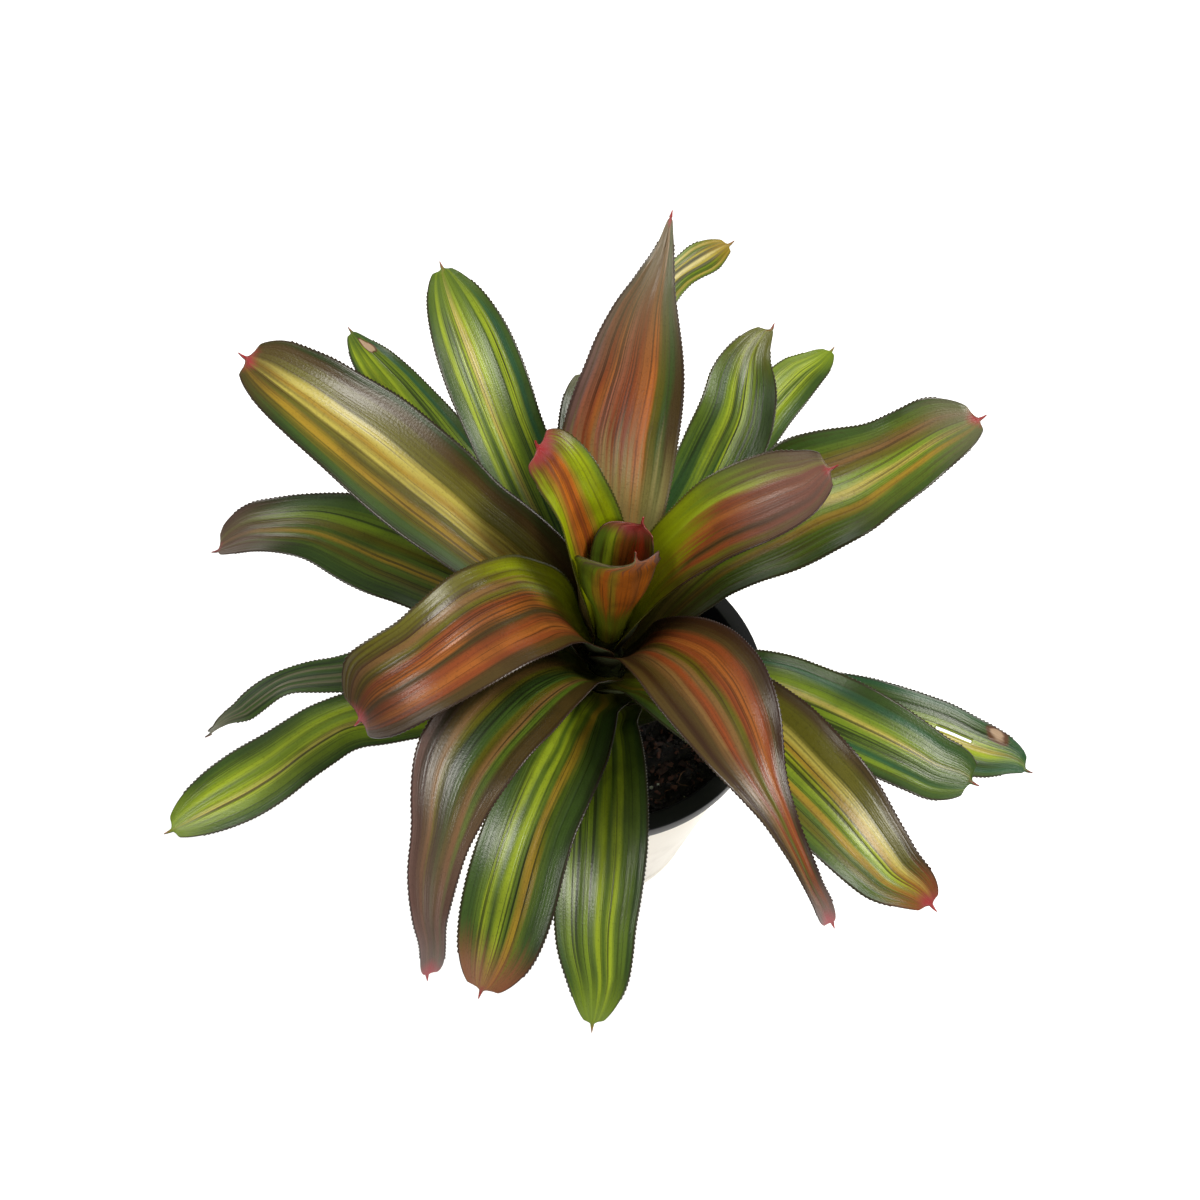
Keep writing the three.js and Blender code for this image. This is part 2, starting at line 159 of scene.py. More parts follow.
def colour(code):
    """A colour written as six hexadecimal digits, as the linear colour that shaders use."""
    parts = [int(code[i:i + 2], 16) / 255 for i in (0, 2, 4)]
    return (*[c / 12.92 if c <= 0.04045 else ((c + 0.055) / 1.055) ** 2.4 for c in parts], 1)


class Board:
    """Adds shader nodes to one tree and joins them."""

    def __init__(self, tree):
        self.tree = tree

    def node(self, kind, **settings):
        made = self.tree.nodes.new("ShaderNode" + kind)
        for key, value in settings.items():
            setattr(made, key, value)
        return made

    def feed(self, socket, value):
        if isinstance(value, bpy.types.NodeSocket):
            self.tree.links.new(value, socket)
        else:
            socket.default_value = value

    def math(self, operation, *values):
        made = self.node("Math", operation=operation)
        for socket, value in zip(made.inputs, values):
            self.feed(socket, value)
        return made.outputs[0]

    def fade(self, value, start, end):
        """A soft step: 0 at start, 1 at end, whichever is larger."""
        made = self.node("MapRange", interpolation_type="SMOOTHSTEP")
        self.feed(made.inputs["Value"], value)
        self.feed(made.inputs["From Min"], start)
        self.feed(made.inputs["From Max"], end)
        return made.outputs["Result"]

    def place(self, x, y, z):
        made = self.node("CombineXYZ")
        for socket, value in zip(made.inputs, (x, y, z)):
            self.feed(socket, value)
        return made.outputs[0]

    def noise(self, vector, scale=1.0, detail=2.0, roughness=0.5):
        made = self.node("TexNoise")
        self.feed(made.inputs["Vector"], vector)
        self.feed(made.inputs["Scale"], scale)
        self.feed(made.inputs["Detail"], detail)
        self.feed(made.inputs["Roughness"], roughness)
        return made.outputs["Fac"]

    def times(self, value, factor):
        return self.math("MULTIPLY", value, factor)

    def sway(self, noise, width):
        """Noise as a value that swings about 0, over the given width at most."""
        return self.times(self.math("SUBTRACT", noise, 0.5), width)

    def blend(self, share, low, high):
        """The colour that lies this share of the way from low to high."""
        made = self.node("Mix", data_type="RGBA")
        self.feed(made.inputs[MIX_SHARE], share)
        self.feed(made.inputs[MIX_LOW], low)
        self.feed(made.inputs[MIX_HIGH], high)
        return made.outputs[MIX_RESULT]


def new_group(name, inputs, outputs):
    """An empty node group with named sockets, and the board to fill it."""
    kinds = {"number": "NodeSocketFloat", "colour": "NodeSocketColor", "vector": "NodeSocketVector"}
    tree = bpy.data.node_groups.new(name, "ShaderNodeTree")
    for side, sockets in (("INPUT", inputs), ("OUTPUT", outputs)):
        for socket, kind in sockets.items():
            tree.interface.new_socket(name=socket, in_out=side, socket_type=kinds[kind])
    board = Board(tree)
    return board, tree.nodes.new("NodeGroupInput").outputs, tree.nodes.new("NodeGroupOutput").inputs


def new_material(name):
    """A material with its Principled shader, and the board to wire it."""
    material = bpy.data.materials.new(name)
    material.use_nodes = True
    return material, Board(material.node_tree), material.node_tree.nodes["Principled BSDF"].inputs


print("shader board ready")

# %% [markdown]
# ## How a leaf is coloured
# A leaf has dark margins and a band of stripes along its middle: lime, green and nearly black lines
# in old leaves, copper and rust in young ones. The stripes follow the leaf, so the pattern is built
# on two coordinates of the leaf itself, how far along and how far across a point lies. Twelve
# colours are laid side by side across the leaf, and noise that is stretched along it makes their
# borders wander. The thin dark lines are level curves of a finer noise. The tip blushes red, the very
# edge is brown, and a leaf can have one dry scar. Every leaf uses this, so it is one node group with
# the colours as inputs. The coats of colour go on one after another, each in a function of its own.

# %% Leaf pattern: its inputs and its numbers
STRIPES = 12
STRIPE_BORDER = 0.42
STRIPE_WANDER = 2.4
STRIPE_FRAY = 1.1
LEAF_COLOURS = [f"Stripe {k + 1}" for k in range(STRIPES)] + ["Dark Line", "Base", "Tip Tint"]
LEAF_NUMBERS = ["Along", "Across", "To Tip", "Seed", "Base Reach", "Base Side", "Base Share",
                "Tip Reach", "Blush Reach", "Lines", "Scar Along", "Scar Across", "Scar Size"]

# How fine each noise is across and along the leaf, its detail, and which slice of the noise it is.
STREAKS = {
    "slow": dict(across=1.2, along=2.4, detail=2, which=3.1),
    "broad": dict(across=4.5, along=1.2, detail=2, which=1.7),
    "fine": dict(across=16, along=1.3, detail=3, which=9.4),
    "patch": dict(across=1.5, along=7, detail=3, which=0),
    "flecks": dict(across=24, along=190, detail=2, which=0),
    "cluster": dict(across=2.6, along=1.5, detail=2, which=37),
    "thin line": dict(across=18, along=0.9, detail=1, which=23),
    "thinner line": dict(across=29, along=0.9, detail=1, which=41),
}
# Where each coat starts and is full, in the value of its noise or in the distance from the midrib.
FADES = {
    "streaks": (0.50, 0.32), "patches": (0.55, 0.30), "flecks": (0.54, 0.70), "cluster": (0.40, 0.56),
    "lines": (0.60, 0.64), "off the margin": (0.85, 0.60), "base": (0.40, 0.60), "edge": (0.94, 0.985),
}
SHARES = {"streaks": 0.38, "patches": 0.30, "flecks": 0.22, "shaded base": 0.25, "tip tint": 0.72,
          "edge": 0.75, "blush": 0.92}
BASE_BORDER = 0.12
BASE_RAGGED = 0.35
TIP_RAGGED = 0.02
TIP_TINT_FULL_AT = 0.25
SCAR_RAGGED = 0.09
SCAR_SQUEEZE = 0.12
SCAR_RINGS = (("5a3a22", 1, 0.75), ("b09478", 0.7, 0.45))
EDGE_COLOUR = "2a1712"
BLUSH_COLOURS = ("92383a", "aa1626")
BLUSH_BORDER = (1.35, 0.65)
BLUSH_LAG = 0.004
BLUSH_RAGGED = 0.004
LEAF_ROUGHNESS = (0.22, 0.18)
RELIEF_OF_FINE = 0.7
RELIEF_OF_FLECKS = 0.25


# %% Leaf pattern: stripes and lines
def streaks(b, i, across, along, detail, which):
    """Noise drawn out along the leaf."""
    slice_of_noise = b.math("ADD", i["Seed"], which)
    return b.noise(b.place(b.times(i["Across"], across), b.times(i["Along"], along), slice_of_noise),
                   detail=detail)


def paint_stripes(b, i, noise):
    """Stripes side by side, whose borders wander along the leaf and fray a little."""
    place = b.math("MULTIPLY_ADD", i["Across"], -STRIPES / 2, STRIPES / 2)
    shift = b.math("ADD", b.sway(noise["slow"], STRIPE_WANDER), b.sway(noise["fine"], STRIPE_FRAY))
    place = b.math("ADD", place, shift)
    painted = i["Stripe 1"]
    for k in range(1, STRIPES):
        share = b.fade(place, k - STRIPE_BORDER, k + STRIPE_BORDER)
        painted = b.blend(share, painted, i[f"Stripe {k + 1}"])
    return painted


def darken(b, i, painted, noise, coat):
    """Lays the leaf's dark colour over it, as far as the coat's fade and share say."""
    share = b.times(b.fade(noise, *FADES[coat]), SHARES[coat])
    return b.blend(share, painted, i["Dark Line"])


def paint_thin_lines(b, i, noise, painted):
    """Thin dark lines, which come in clusters and keep off the margins."""
    inside = b.fade(b.math("ABSOLUTE", i["Across"]), *FADES["off the margin"])
    cluster = b.fade(noise["cluster"], *FADES["cluster"])
    for name in ("thin line", "thinner line"):
        line = b.times(b.fade(noise[name], *FADES["lines"]), cluster)
        line = b.times(b.times(line, i["Lines"]), inside)
        painted = b.blend(line, painted, i["Dark Line"])
    return painted


# %% Leaf pattern: base, tip and scar
def paint_base(b, i, noise, painted):
    """The base's colour, which reaches further on one side where the leaf says so. On the tall back leaf it
    is partly a painted highlight.
    """
    from_base = b.math("SUBTRACT", i["Along"], b.times(i["Across"], i["Base Side"]))
    from_base = b.math("ADD", from_base, b.sway(noise["fine"], BASE_RAGGED))
    start = b.math("ADD", i["Base Reach"], BASE_BORDER)
    end = b.math("SUBTRACT", i["Base Reach"], BASE_BORDER)
    shaded = b.blend(SHARES["shaded base"], i["Base"], i["Dark Line"])
    base = b.blend(b.fade(noise["broad"], *FADES["base"]), shaded, i["Base"])
    return b.blend(b.times(b.fade(from_base, start, end), i["Base Share"]), painted, base)


def paint_tip_tint(b, i, noise, painted):
    """The greyish tint before the tip."""
    ragged = b.math("ADD", i["To Tip"], b.sway(noise["fine"], TIP_RAGGED))
    tint = b.fade(ragged, i["Tip Reach"], b.times(i["Tip Reach"], TIP_TINT_FULL_AT))
    return b.blend(b.times(tint, SHARES["tip tint"]), painted, i["Tip Tint"])


def paint_scar(b, i, noise, painted):
    """A dry scar with a brown rim and a tan middle. A leaf without one has size 0."""
    along = b.math("SUBTRACT", i["Along"], i["Scar Along"])
    across = b.times(b.math("SUBTRACT", i["Across"], i["Scar Across"]), SCAR_SQUEEZE)
    away = b.math("SQRT", b.math("ADD", b.math("POWER", along, 2.0), b.math("POWER", across, 2.0)))
    away = b.math("ADD", away, b.sway(noise["patch"], SCAR_RAGGED))
    for code, outside, inside in SCAR_RINGS:
        ring = b.fade(away, b.times(i["Scar Size"], outside), b.times(i["Scar Size"], inside))
        painted = b.blend(ring, painted, colour(code))
    return painted


def paint_edge_and_blush(b, i, noise, painted):
    """The brown edge, and the red at the very tip, which is deepest at the thorn."""
    side = b.math("ABSOLUTE", i["Across"])
    edge = b.times(b.fade(side, *FADES["edge"]), SHARES["edge"])
    painted = b.blend(edge, painted, colour(EDGE_COLOUR))
    from_thorn = b.math("MULTIPLY_ADD", side, BLUSH_LAG, i["To Tip"])
    from_thorn = b.math("ADD", from_thorn, b.sway(noise["fine"], BLUSH_RAGGED))
    reach = i["Blush Reach"]
    red = b.blend(b.fade(from_thorn, reach, 0.0), *[colour(code) for code in BLUSH_COLOURS])
    spread = b.fade(from_thorn, *[b.times(reach, factor) for factor in BLUSH_BORDER])
    return b.blend(b.times(spread, SHARES["blush"]), painted, red)


# %% Leaf pattern: the group
def make_leaf_pattern():
    inputs = {name: "number" for name in LEAF_NUMBERS}
    inputs.update({name: "colour" for name in LEAF_COLOURS})
    outputs = {"Color": "colour", "Roughness": "number", "Height": "number"}
    b, i, o = new_group("leaf_pattern", inputs, outputs)
    noise = {name: streaks(b, i, **facts) for name, facts in STREAKS.items()}
    painted = paint_stripes(b, i, noise)
    painted = darken(b, i, painted, noise["fine"], "streaks")
    painted = darken(b, i, painted, noise["patch"], "patches")
    painted = paint_thin_lines(b, i, noise, painted)
    painted = paint_base(b, i, noise, painted)
    painted = paint_tip_tint(b, i, noise, painted)
    painted = darken(b, i, painted, noise["flecks"], "flecks")
    painted = paint_scar(b, i, noise, painted)
    painted = paint_edge_and_blush(b, i, noise, painted)
    smoothest, spread = LEAF_ROUGHNESS
    relief = [b.times(noise["fine"], RELIEF_OF_FINE), b.times(noise["flecks"], RELIEF_OF_FLECKS)]
    b.feed(o["Color"], painted)
    b.feed(o["Roughness"], b.math("MULTIPLY_ADD", noise["fine"], spread, smoothest))
    b.feed(o["Height"], b.math("ADD", *relief))
    return b.tree


leaf_pattern = make_leaf_pattern()
print("leaf pattern:", len(leaf_pattern.nodes), "nodes")

# %% [markdown]
# ## The leaves' colours
# The colours have names, and each leaf's stripes are written in words from its left edge to its
# right one, as one looks outwards along it. That is how one would note them down in front of the
# plant. Old leaves are green, upper ones copper and rust between bronze margins, and the heart is
# lime with copper streaks. Each leaf has its own seed, so no two have the same lines. The tall back
# leaf's cream base and rose stripes are partly painted highlight.

# %% Leaf colours
# Rose and cream also serve as partly painted highlight: the milky sheen on the tall back leaf.
PALETTE = {
    "night": "141a06", "forest": "283a14", "fern": "3a521c", "teal": "2d5634", "moss": "546a1c",
    "leaf": "72881c", "lime": "98aa24", "acid": "95a408", "straw": "b6a84a", "cream": "d4c680",
    "olive": "605c14", "bronze": "4b3b1a", "umber": "34200f", "rust": "86421e", "copper": "9e5a24",
    "orange": "ba661e", "gold": "a08224", "mauve": "6e524a", "smoke": "68664c", "wine": "5c1614",
    "rose": "96583c", "scarlet": "a8321e", "tan": "7a5a30",
}
FAMILIES = {
    "heart": dict(Dark_Line="umber", Base="acid", Tip_Tint="wine", Base_Reach=0.3, Base_Side=0.0,
                  Base_Share=0.85, Tip_Reach=0.02, Blush_Reach=0.008, Lines=0.5),
    "upper": dict(Dark_Line="umber", Base="acid", Tip_Tint="mauve", Base_Reach=0.25, Base_Side=0.0,
                  Base_Share=0.85, Tip_Reach=0.05, Blush_Reach=0.009, Lines=0.65),
    "middle": dict(Dark_Line="night", Base="olive", Tip_Tint="mauve", Base_Reach=0.12, Base_Side=0.0,
                   Base_Share=0.8, Tip_Reach=0.03, Blush_Reach=0.006, Lines=0.75),
    "lower": dict(Dark_Line="night", Base="olive", Tip_Tint="smoke", Base_Reach=0.1, Base_Side=0.0,
                  Base_Share=0.8, Tip_Reach=0.02, Blush_Reach=0.003, Lines=0.75),
}
LOOKS = {
    "heart_back": dict(stripes="moss moss leaf lime gold copper copper scarlet scarlet wine wine umber",
                       Tip_Tint="moss", Tip_Reach=0.012, Blush_Reach=0.009),
    "heart_front": dict(stripes="mauve copper orange copper orange orange gold orange gold leaf moss leaf",
                        Base="leaf", Base_Reach=0.4, Tip_Tint="mauve", Tip_Reach=0.009, Blush_Reach=0.003),
    "heart_left": dict(stripes="acid acid gold copper orange rust orange gold acid acid acid leaf",
                       Base_Reach=0.35, Tip_Tint="wine", Tip_Reach=0.02, Blush_Reach=0.0095),
    "upper_right": dict(stripes="moss leaf leaf lime rust copper rust rust bronze rust olive bronze",
                        Base_Reach=0.48, Base_Side=0.16, Blush_Reach=0.005),
    # The cream base and the rose stripes are partly painted highlight: the milky sheen where this steep leaf
    # faces the light.
    "upper_back": dict(stripes="mauve rose rust copper rose rust rust copper orange olive fern bronze",
                       Base="cream", Base_Reach=0.43, Base_Share=0.6, Tip_Tint="smoke", Tip_Reach=0.07,
                       Blush_Reach=0.006),
    "upper_front_left": dict(stripes="bronze bronze rust copper rust bronze "
                                     "copper rust olive tan olive olive",
                             Base_Reach=0.22, Base_Side=-0.3, Tip_Tint="umber", Tip_Reach=0.03,
                             Blush_Reach=0.0065),
    "upper_front_right": dict(stripes="umber bronze rust copper rust olive tan rust tan bronze umber bronze",
                              Base="umber", Base_Reach=0.2, Tip_Tint="mauve", Tip_Reach=0.03,
                              Blush_Reach=0.010),
    "upper_left": dict(stripes="forest fern olive gold olive straw gold straw olive olive bronze forest",
                       Base="umber", Base_Reach=0.3, Base_Share=0.7, Tip_Tint="bronze", Tip_Reach=0.025,
                       Blush_Reach=0.0065),
    "upper_far_right": dict(stripes="fern moss olive tan olive leaf straw leaf gold moss moss fern",
                            Base="bronze", Base_Reach=0.3, Tip_Tint="smoke", Tip_Reach=0.03,
                            Blush_Reach=0.0065),
    "middle_front_left": dict(stripes="bronze bronze moss tan olive fern forest olive tan bronze umber mauve",
                              Tip_Reach=0.085, Blush_Reach=0.010),
    "middle_back_left": dict(stripes="fern moss lime moss lime straw lime leaf moss lime teal fern",
                             Base="teal", Base_Reach=0.5, Base_Share=0.45, Tip_Tint="moss",
                             Blush_Reach=0.0035),
    "middle_right_low": dict(stripes="bronze olive olive straw gold lime leaf gold moss olive moss fern",
                             Tip_Tint="rust", Tip_Reach=0.02, Blush_Reach=0.0075),
    "middle_back_right": dict(stripes="moss moss fern leaf lime moss lime leaf moss fern fern fern",
                              Base="teal", Base_Reach=0.55, Base_Share=0.6, Tip_Tint="olive",
                              Blush_Reach=0.004),
    "middle_left": dict(stripes="fern fern moss olive moss gold moss olive leaf moss fern forest",
                        Tip_Tint="mauve", Tip_Reach=0.04, Blush_Reach=0.005),
    "middle_front": dict(stripes="forest fern fern moss gold moss lime moss lime moss fern fern",
                         Tip_Tint="rose", Tip_Reach=0.025, Blush_Reach=0.0045),
    "middle_right": dict(stripes="fern teal moss leaf straw leaf moss moss teal leaf fern forest",
                         Tip_Tint="fern", Blush_Reach=0.0035),
    "lower_back": dict(stripes="forest forest fern fern umber mauve umber fern fern forest forest forest"),
    "lower_front": dict(stripes="fern moss moss lime moss lime moss leaf moss leaf moss fern",
                        Tip_Tint="leaf"),
    "lower_far_back": dict(stripes="leaf straw moss straw smoke cream straw smoke leaf moss straw leaf",
                           Tip_Tint="gold", Tip_Reach=0.015),
    "lower_left": dict(stripes="fern fern forest smoke fern smoke forest fern smoke fern forest fern",
                       Tip_Tint="smoke"),
    "lower_back_left": dict(Scar_Along=0.925, Scar_Across=-0.45, Scar_Size=0.022,
                            stripes="fern leaf lime leaf lime leaf lime leaf moss leaf teal fern",
                            Tip_Tint="fern"),
    "lower_back_right": dict(stripes="leaf leaf lime leaf lime lime moss lime leaf moss fern fern",
                             Tip_Tint="leaf"),
    "lower_front_left": dict(stripes="fern moss leaf leaf lime straw lime leaf lime leaf moss fern",
                             Tip_Tint="leaf"),
    "lower_right": dict(Scar_Along=0.89, Scar_Across=0.85, Scar_Size=0.04,
                        stripes="teal fern fern leaf lime straw lime leaf fern fern teal fern",
                        Tip_Tint="teal"),
}

# %% [markdown]
# Each leaf then has a material of its own, which hands the leaf's two coordinates, its seed and its
# colours to the group. The Bump and the Principled shader stay outside the group. A leaf's underside
# isn't seen in the photograph. It is made as such plants have it, greyer and duller, with fine scurf,
# and towards the sheath it is darkened with painted shade, as the bases lie deep in the rosette.

# %% Leaf materials
SEED_STEP = 3.7
LEAF_SHINE = 0.38
LEAF_BUMP = dict(Distance=0.0005, Strength=0.5)
UNDERSIDE_TONES = ("3f4a2a", "6f7a4a")
UNDERSIDE_LINES = 36
UNDERSIDE_DRAWN_OUT = 1.8
SCURF_FINER_ACROSS = 2
SCURF_FINER_ALONG = 60
SCURF_SLICE = 4
UNDERSIDE_FADES = {"lines": (0.38, 0.62), "scurf": (0.45, 0.7), "foot": (0.2, 0.08)}
# The colour and the share of what lies on the underside's own tones: the scurf, and painted shade
# at the foot, where the sheaths lie in shadow deep in the rosette.
UNDERSIDE_COATS = {"scurf": ("8a8f78", 0.5), "foot": ("241e12", 0.85)}
UNDERSIDE_ROUGHNESS = (0.45, 0.2)
UNDERSIDE_BUMP = dict(Distance=0.0003)


def leaf_values(name):
    """The pattern group's inputs for one leaf: its family's, changed by its own."""
    values = {**FAMILIES[name.partition("_")[0]], **LOOKS[name]}
    for k, word in enumerate(values.pop("stripes").split()):
        values[f"Stripe_{k + 1}"] = word
    return {key.replace("_", " "): colour(PALETTE[v]) if isinstance(v, str) else v
            for key, v in values.items()}


def roughen(b, shader, height, **settings):
    """A Bump node with these settings, from this height."""
    bump = b.node("Bump")
    for key, value in settings.items():
        b.feed(bump.inputs[key], value)
    b.feed(bump.inputs["Height"], height)
    b.feed(shader["Normal"], bump.outputs[0])


def leaf_material(name, seed):
    """The upper face's material of one leaf."""
    material, b, shader = new_material("leaf_" + name)
    pattern = b.node("Group", node_tree=leaf_pattern)
    blade = b.node("SeparateXYZ")
    b.feed(blade.inputs[0], b.node("UVMap", uv_map="blade").outputs[0])
    b.feed(pattern.inputs["Along"], blade.outputs[0])
    b.feed(pattern.inputs["Across"], b.math("MULTIPLY_ADD", blade.outputs[1], 2.0, -1.0))
    b.feed(pattern.inputs["To Tip"], b.node("Attribute", attribute_name="to_tip").outputs["Fac"])
    b.feed(pattern.inputs["Seed"], SEED_STEP * seed)
    for key, value in leaf_values(name).items():
        b.feed(pattern.inputs[key], value)
    b.feed(shader["Base Color"], pattern.outputs["Color"])
    b.feed(shader["Roughness"], pattern.outputs["Roughness"])
    b.feed(shader["Specular IOR Level"], LEAF_SHINE)
    roughen(b, shader, pattern.outputs["Height"], **LEAF_BUMP)
    return material


def make_underside():
    """The greyer and duller underside of all leaves but the heart's, with painted shade at the sheath."""
    material, b, shader = new_material("leaf_underside")
    blade = b.node("SeparateXYZ")
    b.feed(blade.inputs[0], b.node("UVMap", uv_map="blade").outputs[0])
    along = blade.outputs[0]
    drawn_out = b.times(along, UNDERSIDE_DRAWN_OUT)
    side_by_side = b.times(blade.outputs[1], UNDERSIDE_LINES)
    lines = b.noise(b.place(side_by_side, drawn_out, 0.0), detail=3.0)
    finer = (b.times(side_by_side, SCURF_FINER_ACROSS), b.times(drawn_out, SCURF_FINER_ALONG))
    scurf = b.noise(b.place(*finer, SCURF_SLICE), detail=3.0)
    tones = [colour(code) for code in UNDERSIDE_TONES]
    tone = b.blend(b.fade(lines, *UNDERSIDE_FADES["lines"]), *tones)
    # The foot coat is painted shade: a dark brown that darkens the underside towards the sheath.
    for coat, value in (("scurf", scurf), ("foot", along)):
        code, strength = UNDERSIDE_COATS[coat]
        tone = b.blend(b.times(b.fade(value, *UNDERSIDE_FADES[coat]), strength), tone, colour(code))
    smoothest, spread = UNDERSIDE_ROUGHNESS
    b.feed(shader["Base Color"], tone)
    b.feed(shader["Roughness"], b.math("MULTIPLY_ADD", scurf, spread, smoothest))
    roughen(b, shader, lines, **UNDERSIDE_BUMP)
    return material


underside = make_underside()
print(len(LOOKS), "leaves have their colours from a palette of", len(PALETTE))

# %% [markdown]
# ## How a leaf is bent
# A leaf could be bent with Simple Deform modifiers, but its sheath wraps the stem as part of a cone
# while its blade is an open trough that arches over, and no chain of modifiers gives both. So a flat
# grid is added, and each of its points is moved to where the leaf's own formula puts it, the same
# formula that shaped the CAD solid. The sizes are the solids' too, but for two things: the thorns are
# finer, and the ends of two heart leaves are folded less, as the photograph shows them. The grid has
# rows close enough together for the fine teeth along the margin: every other row's last point stands
# out and forward a little.
#
# A leaf sits on the stem at a height and a heading. Its midrib climbs by the first angle at the seat,
# leans towards the second and ends at the third, and turns aside in the same way. The three channel
# angles say how far the blade wraps round at its sheath, in its middle and at its tip, and one below
# zero rounds it outwards.

# %% Leaf sizes, in metres and degrees
LEAVES = {
    "heart_back": dict(seat=0.160, heading=76, climb=(82, 84, 44), turn=(0, 0), length=0.053,
                       width=0.025, widest=0.6, channel=(62, 64, 60), pinch=0, ripple=0),
    "heart_front": dict(seat=0.157, heading=-84, climb=(84, 92, 96), turn=(0, 0), length=0.061,
                        width=0.029, widest=0.6, channel=(68, 60, 40), pinch=0, ripple=0),
    "heart_left": dict(seat=0.154, heading=142, climb=(80, 72, 58), turn=(0, 26), length=0.101,
                       width=0.030, widest=0.75, channel=(64, 44, -30), pinch=0, ripple=0),
    "upper_right": dict(seat=0.151, heading=14, climb=(74, 56, 12), turn=(0, 9), length=0.120,
                        width=0.036, widest=0.5, channel=(80, 35, 35), pinch=0, ripple=0.0005),
    "upper_back": dict(seat=0.148, heading=90, climb=(70, 54, 16), turn=(0, -9), length=0.164,
                       width=0.041, widest=0.45, channel=(75, 30, 50), pinch=0.6, ripple=0.001),
    "upper_front_left": dict(seat=0.145, heading=223, climb=(70, 46, -58), turn=(0, -6), length=0.146,
                             width=0.046, widest=0.5, channel=(62, 24, 30), pinch=0, ripple=0.0005),
    "upper_front_right": dict(seat=0.142, heading=-60, climb=(66, 30, -72), turn=(0, 15), length=0.188,
                              width=0.039, widest=0.4, channel=(62, 26, 60), pinch=0.66, ripple=0.001),
    "upper_left": dict(seat=0.139, heading=168, climb=(64, 42, 12), turn=(0, -6), length=0.182,
                       width=0.047, widest=0.5, channel=(62, 22, 30), pinch=0, ripple=0.0005),
    "upper_far_right": dict(seat=0.136, heading=20, climb=(60, 40, 8), turn=(0, 12), length=0.170,
                            width=0.042, widest=0.5, channel=(60, 24, 30), pinch=0, ripple=0.002),
    "middle_front_left": dict(seat=0.1338, heading=242, climb=(56, 26, -78), turn=(0, 36), length=0.186,
                              width=0.036, widest=0.42, channel=(58, 26, 50), pinch=0.6, ripple=0.001),
    "middle_back_left": dict(seat=0.1316, heading=128, climb=(56, 42, 10), turn=(0, -7), length=0.163,
                             width=0.032, widest=0.5, channel=(58, 26, 30), pinch=0, ripple=0.0006),
    "middle_right_low": dict(seat=0.1294, heading=-44, climb=(52, 22, -30), turn=(0, 1), length=0.174,
                             width=0.036, widest=0.5, channel=(55, 24, 24), pinch=0, ripple=0.001),
    "middle_back_right": dict(seat=0.1272, heading=62.5, climb=(52, 38, 10), turn=(0, 10), length=0.145,
                              width=0.031, widest=0.5, channel=(55, 26, 30), pinch=0.15, ripple=0.0015),
    "middle_left": dict(seat=0.125, heading=173, climb=(50, 28, -38), turn=(0, 14), length=0.166,
                        width=0.039, widest=0.5, channel=(52, 24, 30), pinch=0.1, ripple=0.001),
    "middle_front": dict(seat=0.1228, heading=259, climb=(48, 14, -40), turn=(0, -4), length=0.158,
                         width=0.035, widest=0.55, channel=(50, 22, 22), pinch=0, ripple=0.0005),
    "middle_right": dict(seat=0.1208, heading=-25, climb=(48, 18, -16), turn=(0, 3), length=0.154,
                         width=0.032, widest=0.5, channel=(48, 22, 22), pinch=0, ripple=0.0006),
    "lower_back": dict(seat=0.1189, heading=101, climb=(50, 34, 6), turn=(0, 0), length=0.119,
                       width=0.032, widest=0.5, channel=(46, 22, 22), pinch=0, ripple=0.0005),
    "lower_front": dict(seat=0.117, heading=273, climb=(44, 8, -35), turn=(0, 0), length=0.154,
                        width=0.033, widest=0.5, channel=(46, 22, 22), pinch=0, ripple=0.0005),
    "lower_far_back": dict(seat=0.1152, heading=97, climb=(43, 12, 12), turn=(0, -62), length=0.192,
                           width=0.024, widest=0.5, channel=(45, 22, 22), pinch=0, ripple=0.0008),
    "lower_left": dict(seat=0.1135, heading=199, climb=(42, 14, -44), turn=(0, 9), length=0.158,
                       width=0.022, widest=0.5, channel=(40, 26, 50), pinch=0.2, ripple=0.001),
    "lower_back_left": dict(seat=0.1119, heading=135, climb=(42, 18, -5), turn=(0, -1), length=0.174,
                            width=0.027, widest=0.5, channel=(40, 22, 22), pinch=0, ripple=0.001),
    "lower_back_right": dict(seat=0.1103, heading=60, climb=(40, 18, -5), turn=(0, 0), length=0.167,
                             width=0.026, widest=0.5, channel=(45, 22, 22), pinch=0, ripple=0.0008),
    "lower_front_left": dict(seat=0.1088, heading=212, climb=(40, 4, -14), turn=(0, 3), length=0.177,
                             width=0.027, widest=0.5, channel=(45, 20, 20), pinch=0, ripple=0.0006),
    "lower_right": dict(seat=0.1073, heading=-11, climb=(38, 6, -18), turn=(0, -4), length=0.166,
                        width=0.028, widest=0.5, channel=(45, 20, 20), pinch=0, ripple=0.0008),
}
print(len(LEAVES), "leaves, the longest", max(leaf["length"] for leaf in LEAVES.values()), "m")

# %% [markdown]
# All leaves share the stem that they sit on, their thickness, their sheath and their thorn. A leaf
# starts at its waist with a share of its width, and a pinched one is narrowest at its neck.

# %% Sizes that all leaves share
MIX_LEVEL = 0.105
STEM_TOP = 0.162
STEM_RADIUS_LOW = 0.0105
STEM_RADIUS_HIGH = 0.0036
SEAT_GAP = 0.0003
LEAF_THICKNESS = 0.0008
SHEATH_LENGTH = 0.022
SPINE_LENGTH = 0.0028
SPINE_HALF_WIDTH = 0.0007
WAIST_WIDTH = 0.74
NECK_AT = 0.89
NECK_SPREAD = (0.24, 0.14)
TIP_BLUNTNESS = 3
MIDRIB_STEPS = 120


def clamp01(x):
    return np.clip(x, 0, 1)


def smooth(low, high, x):
    s = clamp01((x - low) / (high - low))
    return s * s * (3 - 2 * s)


def mix(a, b, share):
    return a + (b - a) * share


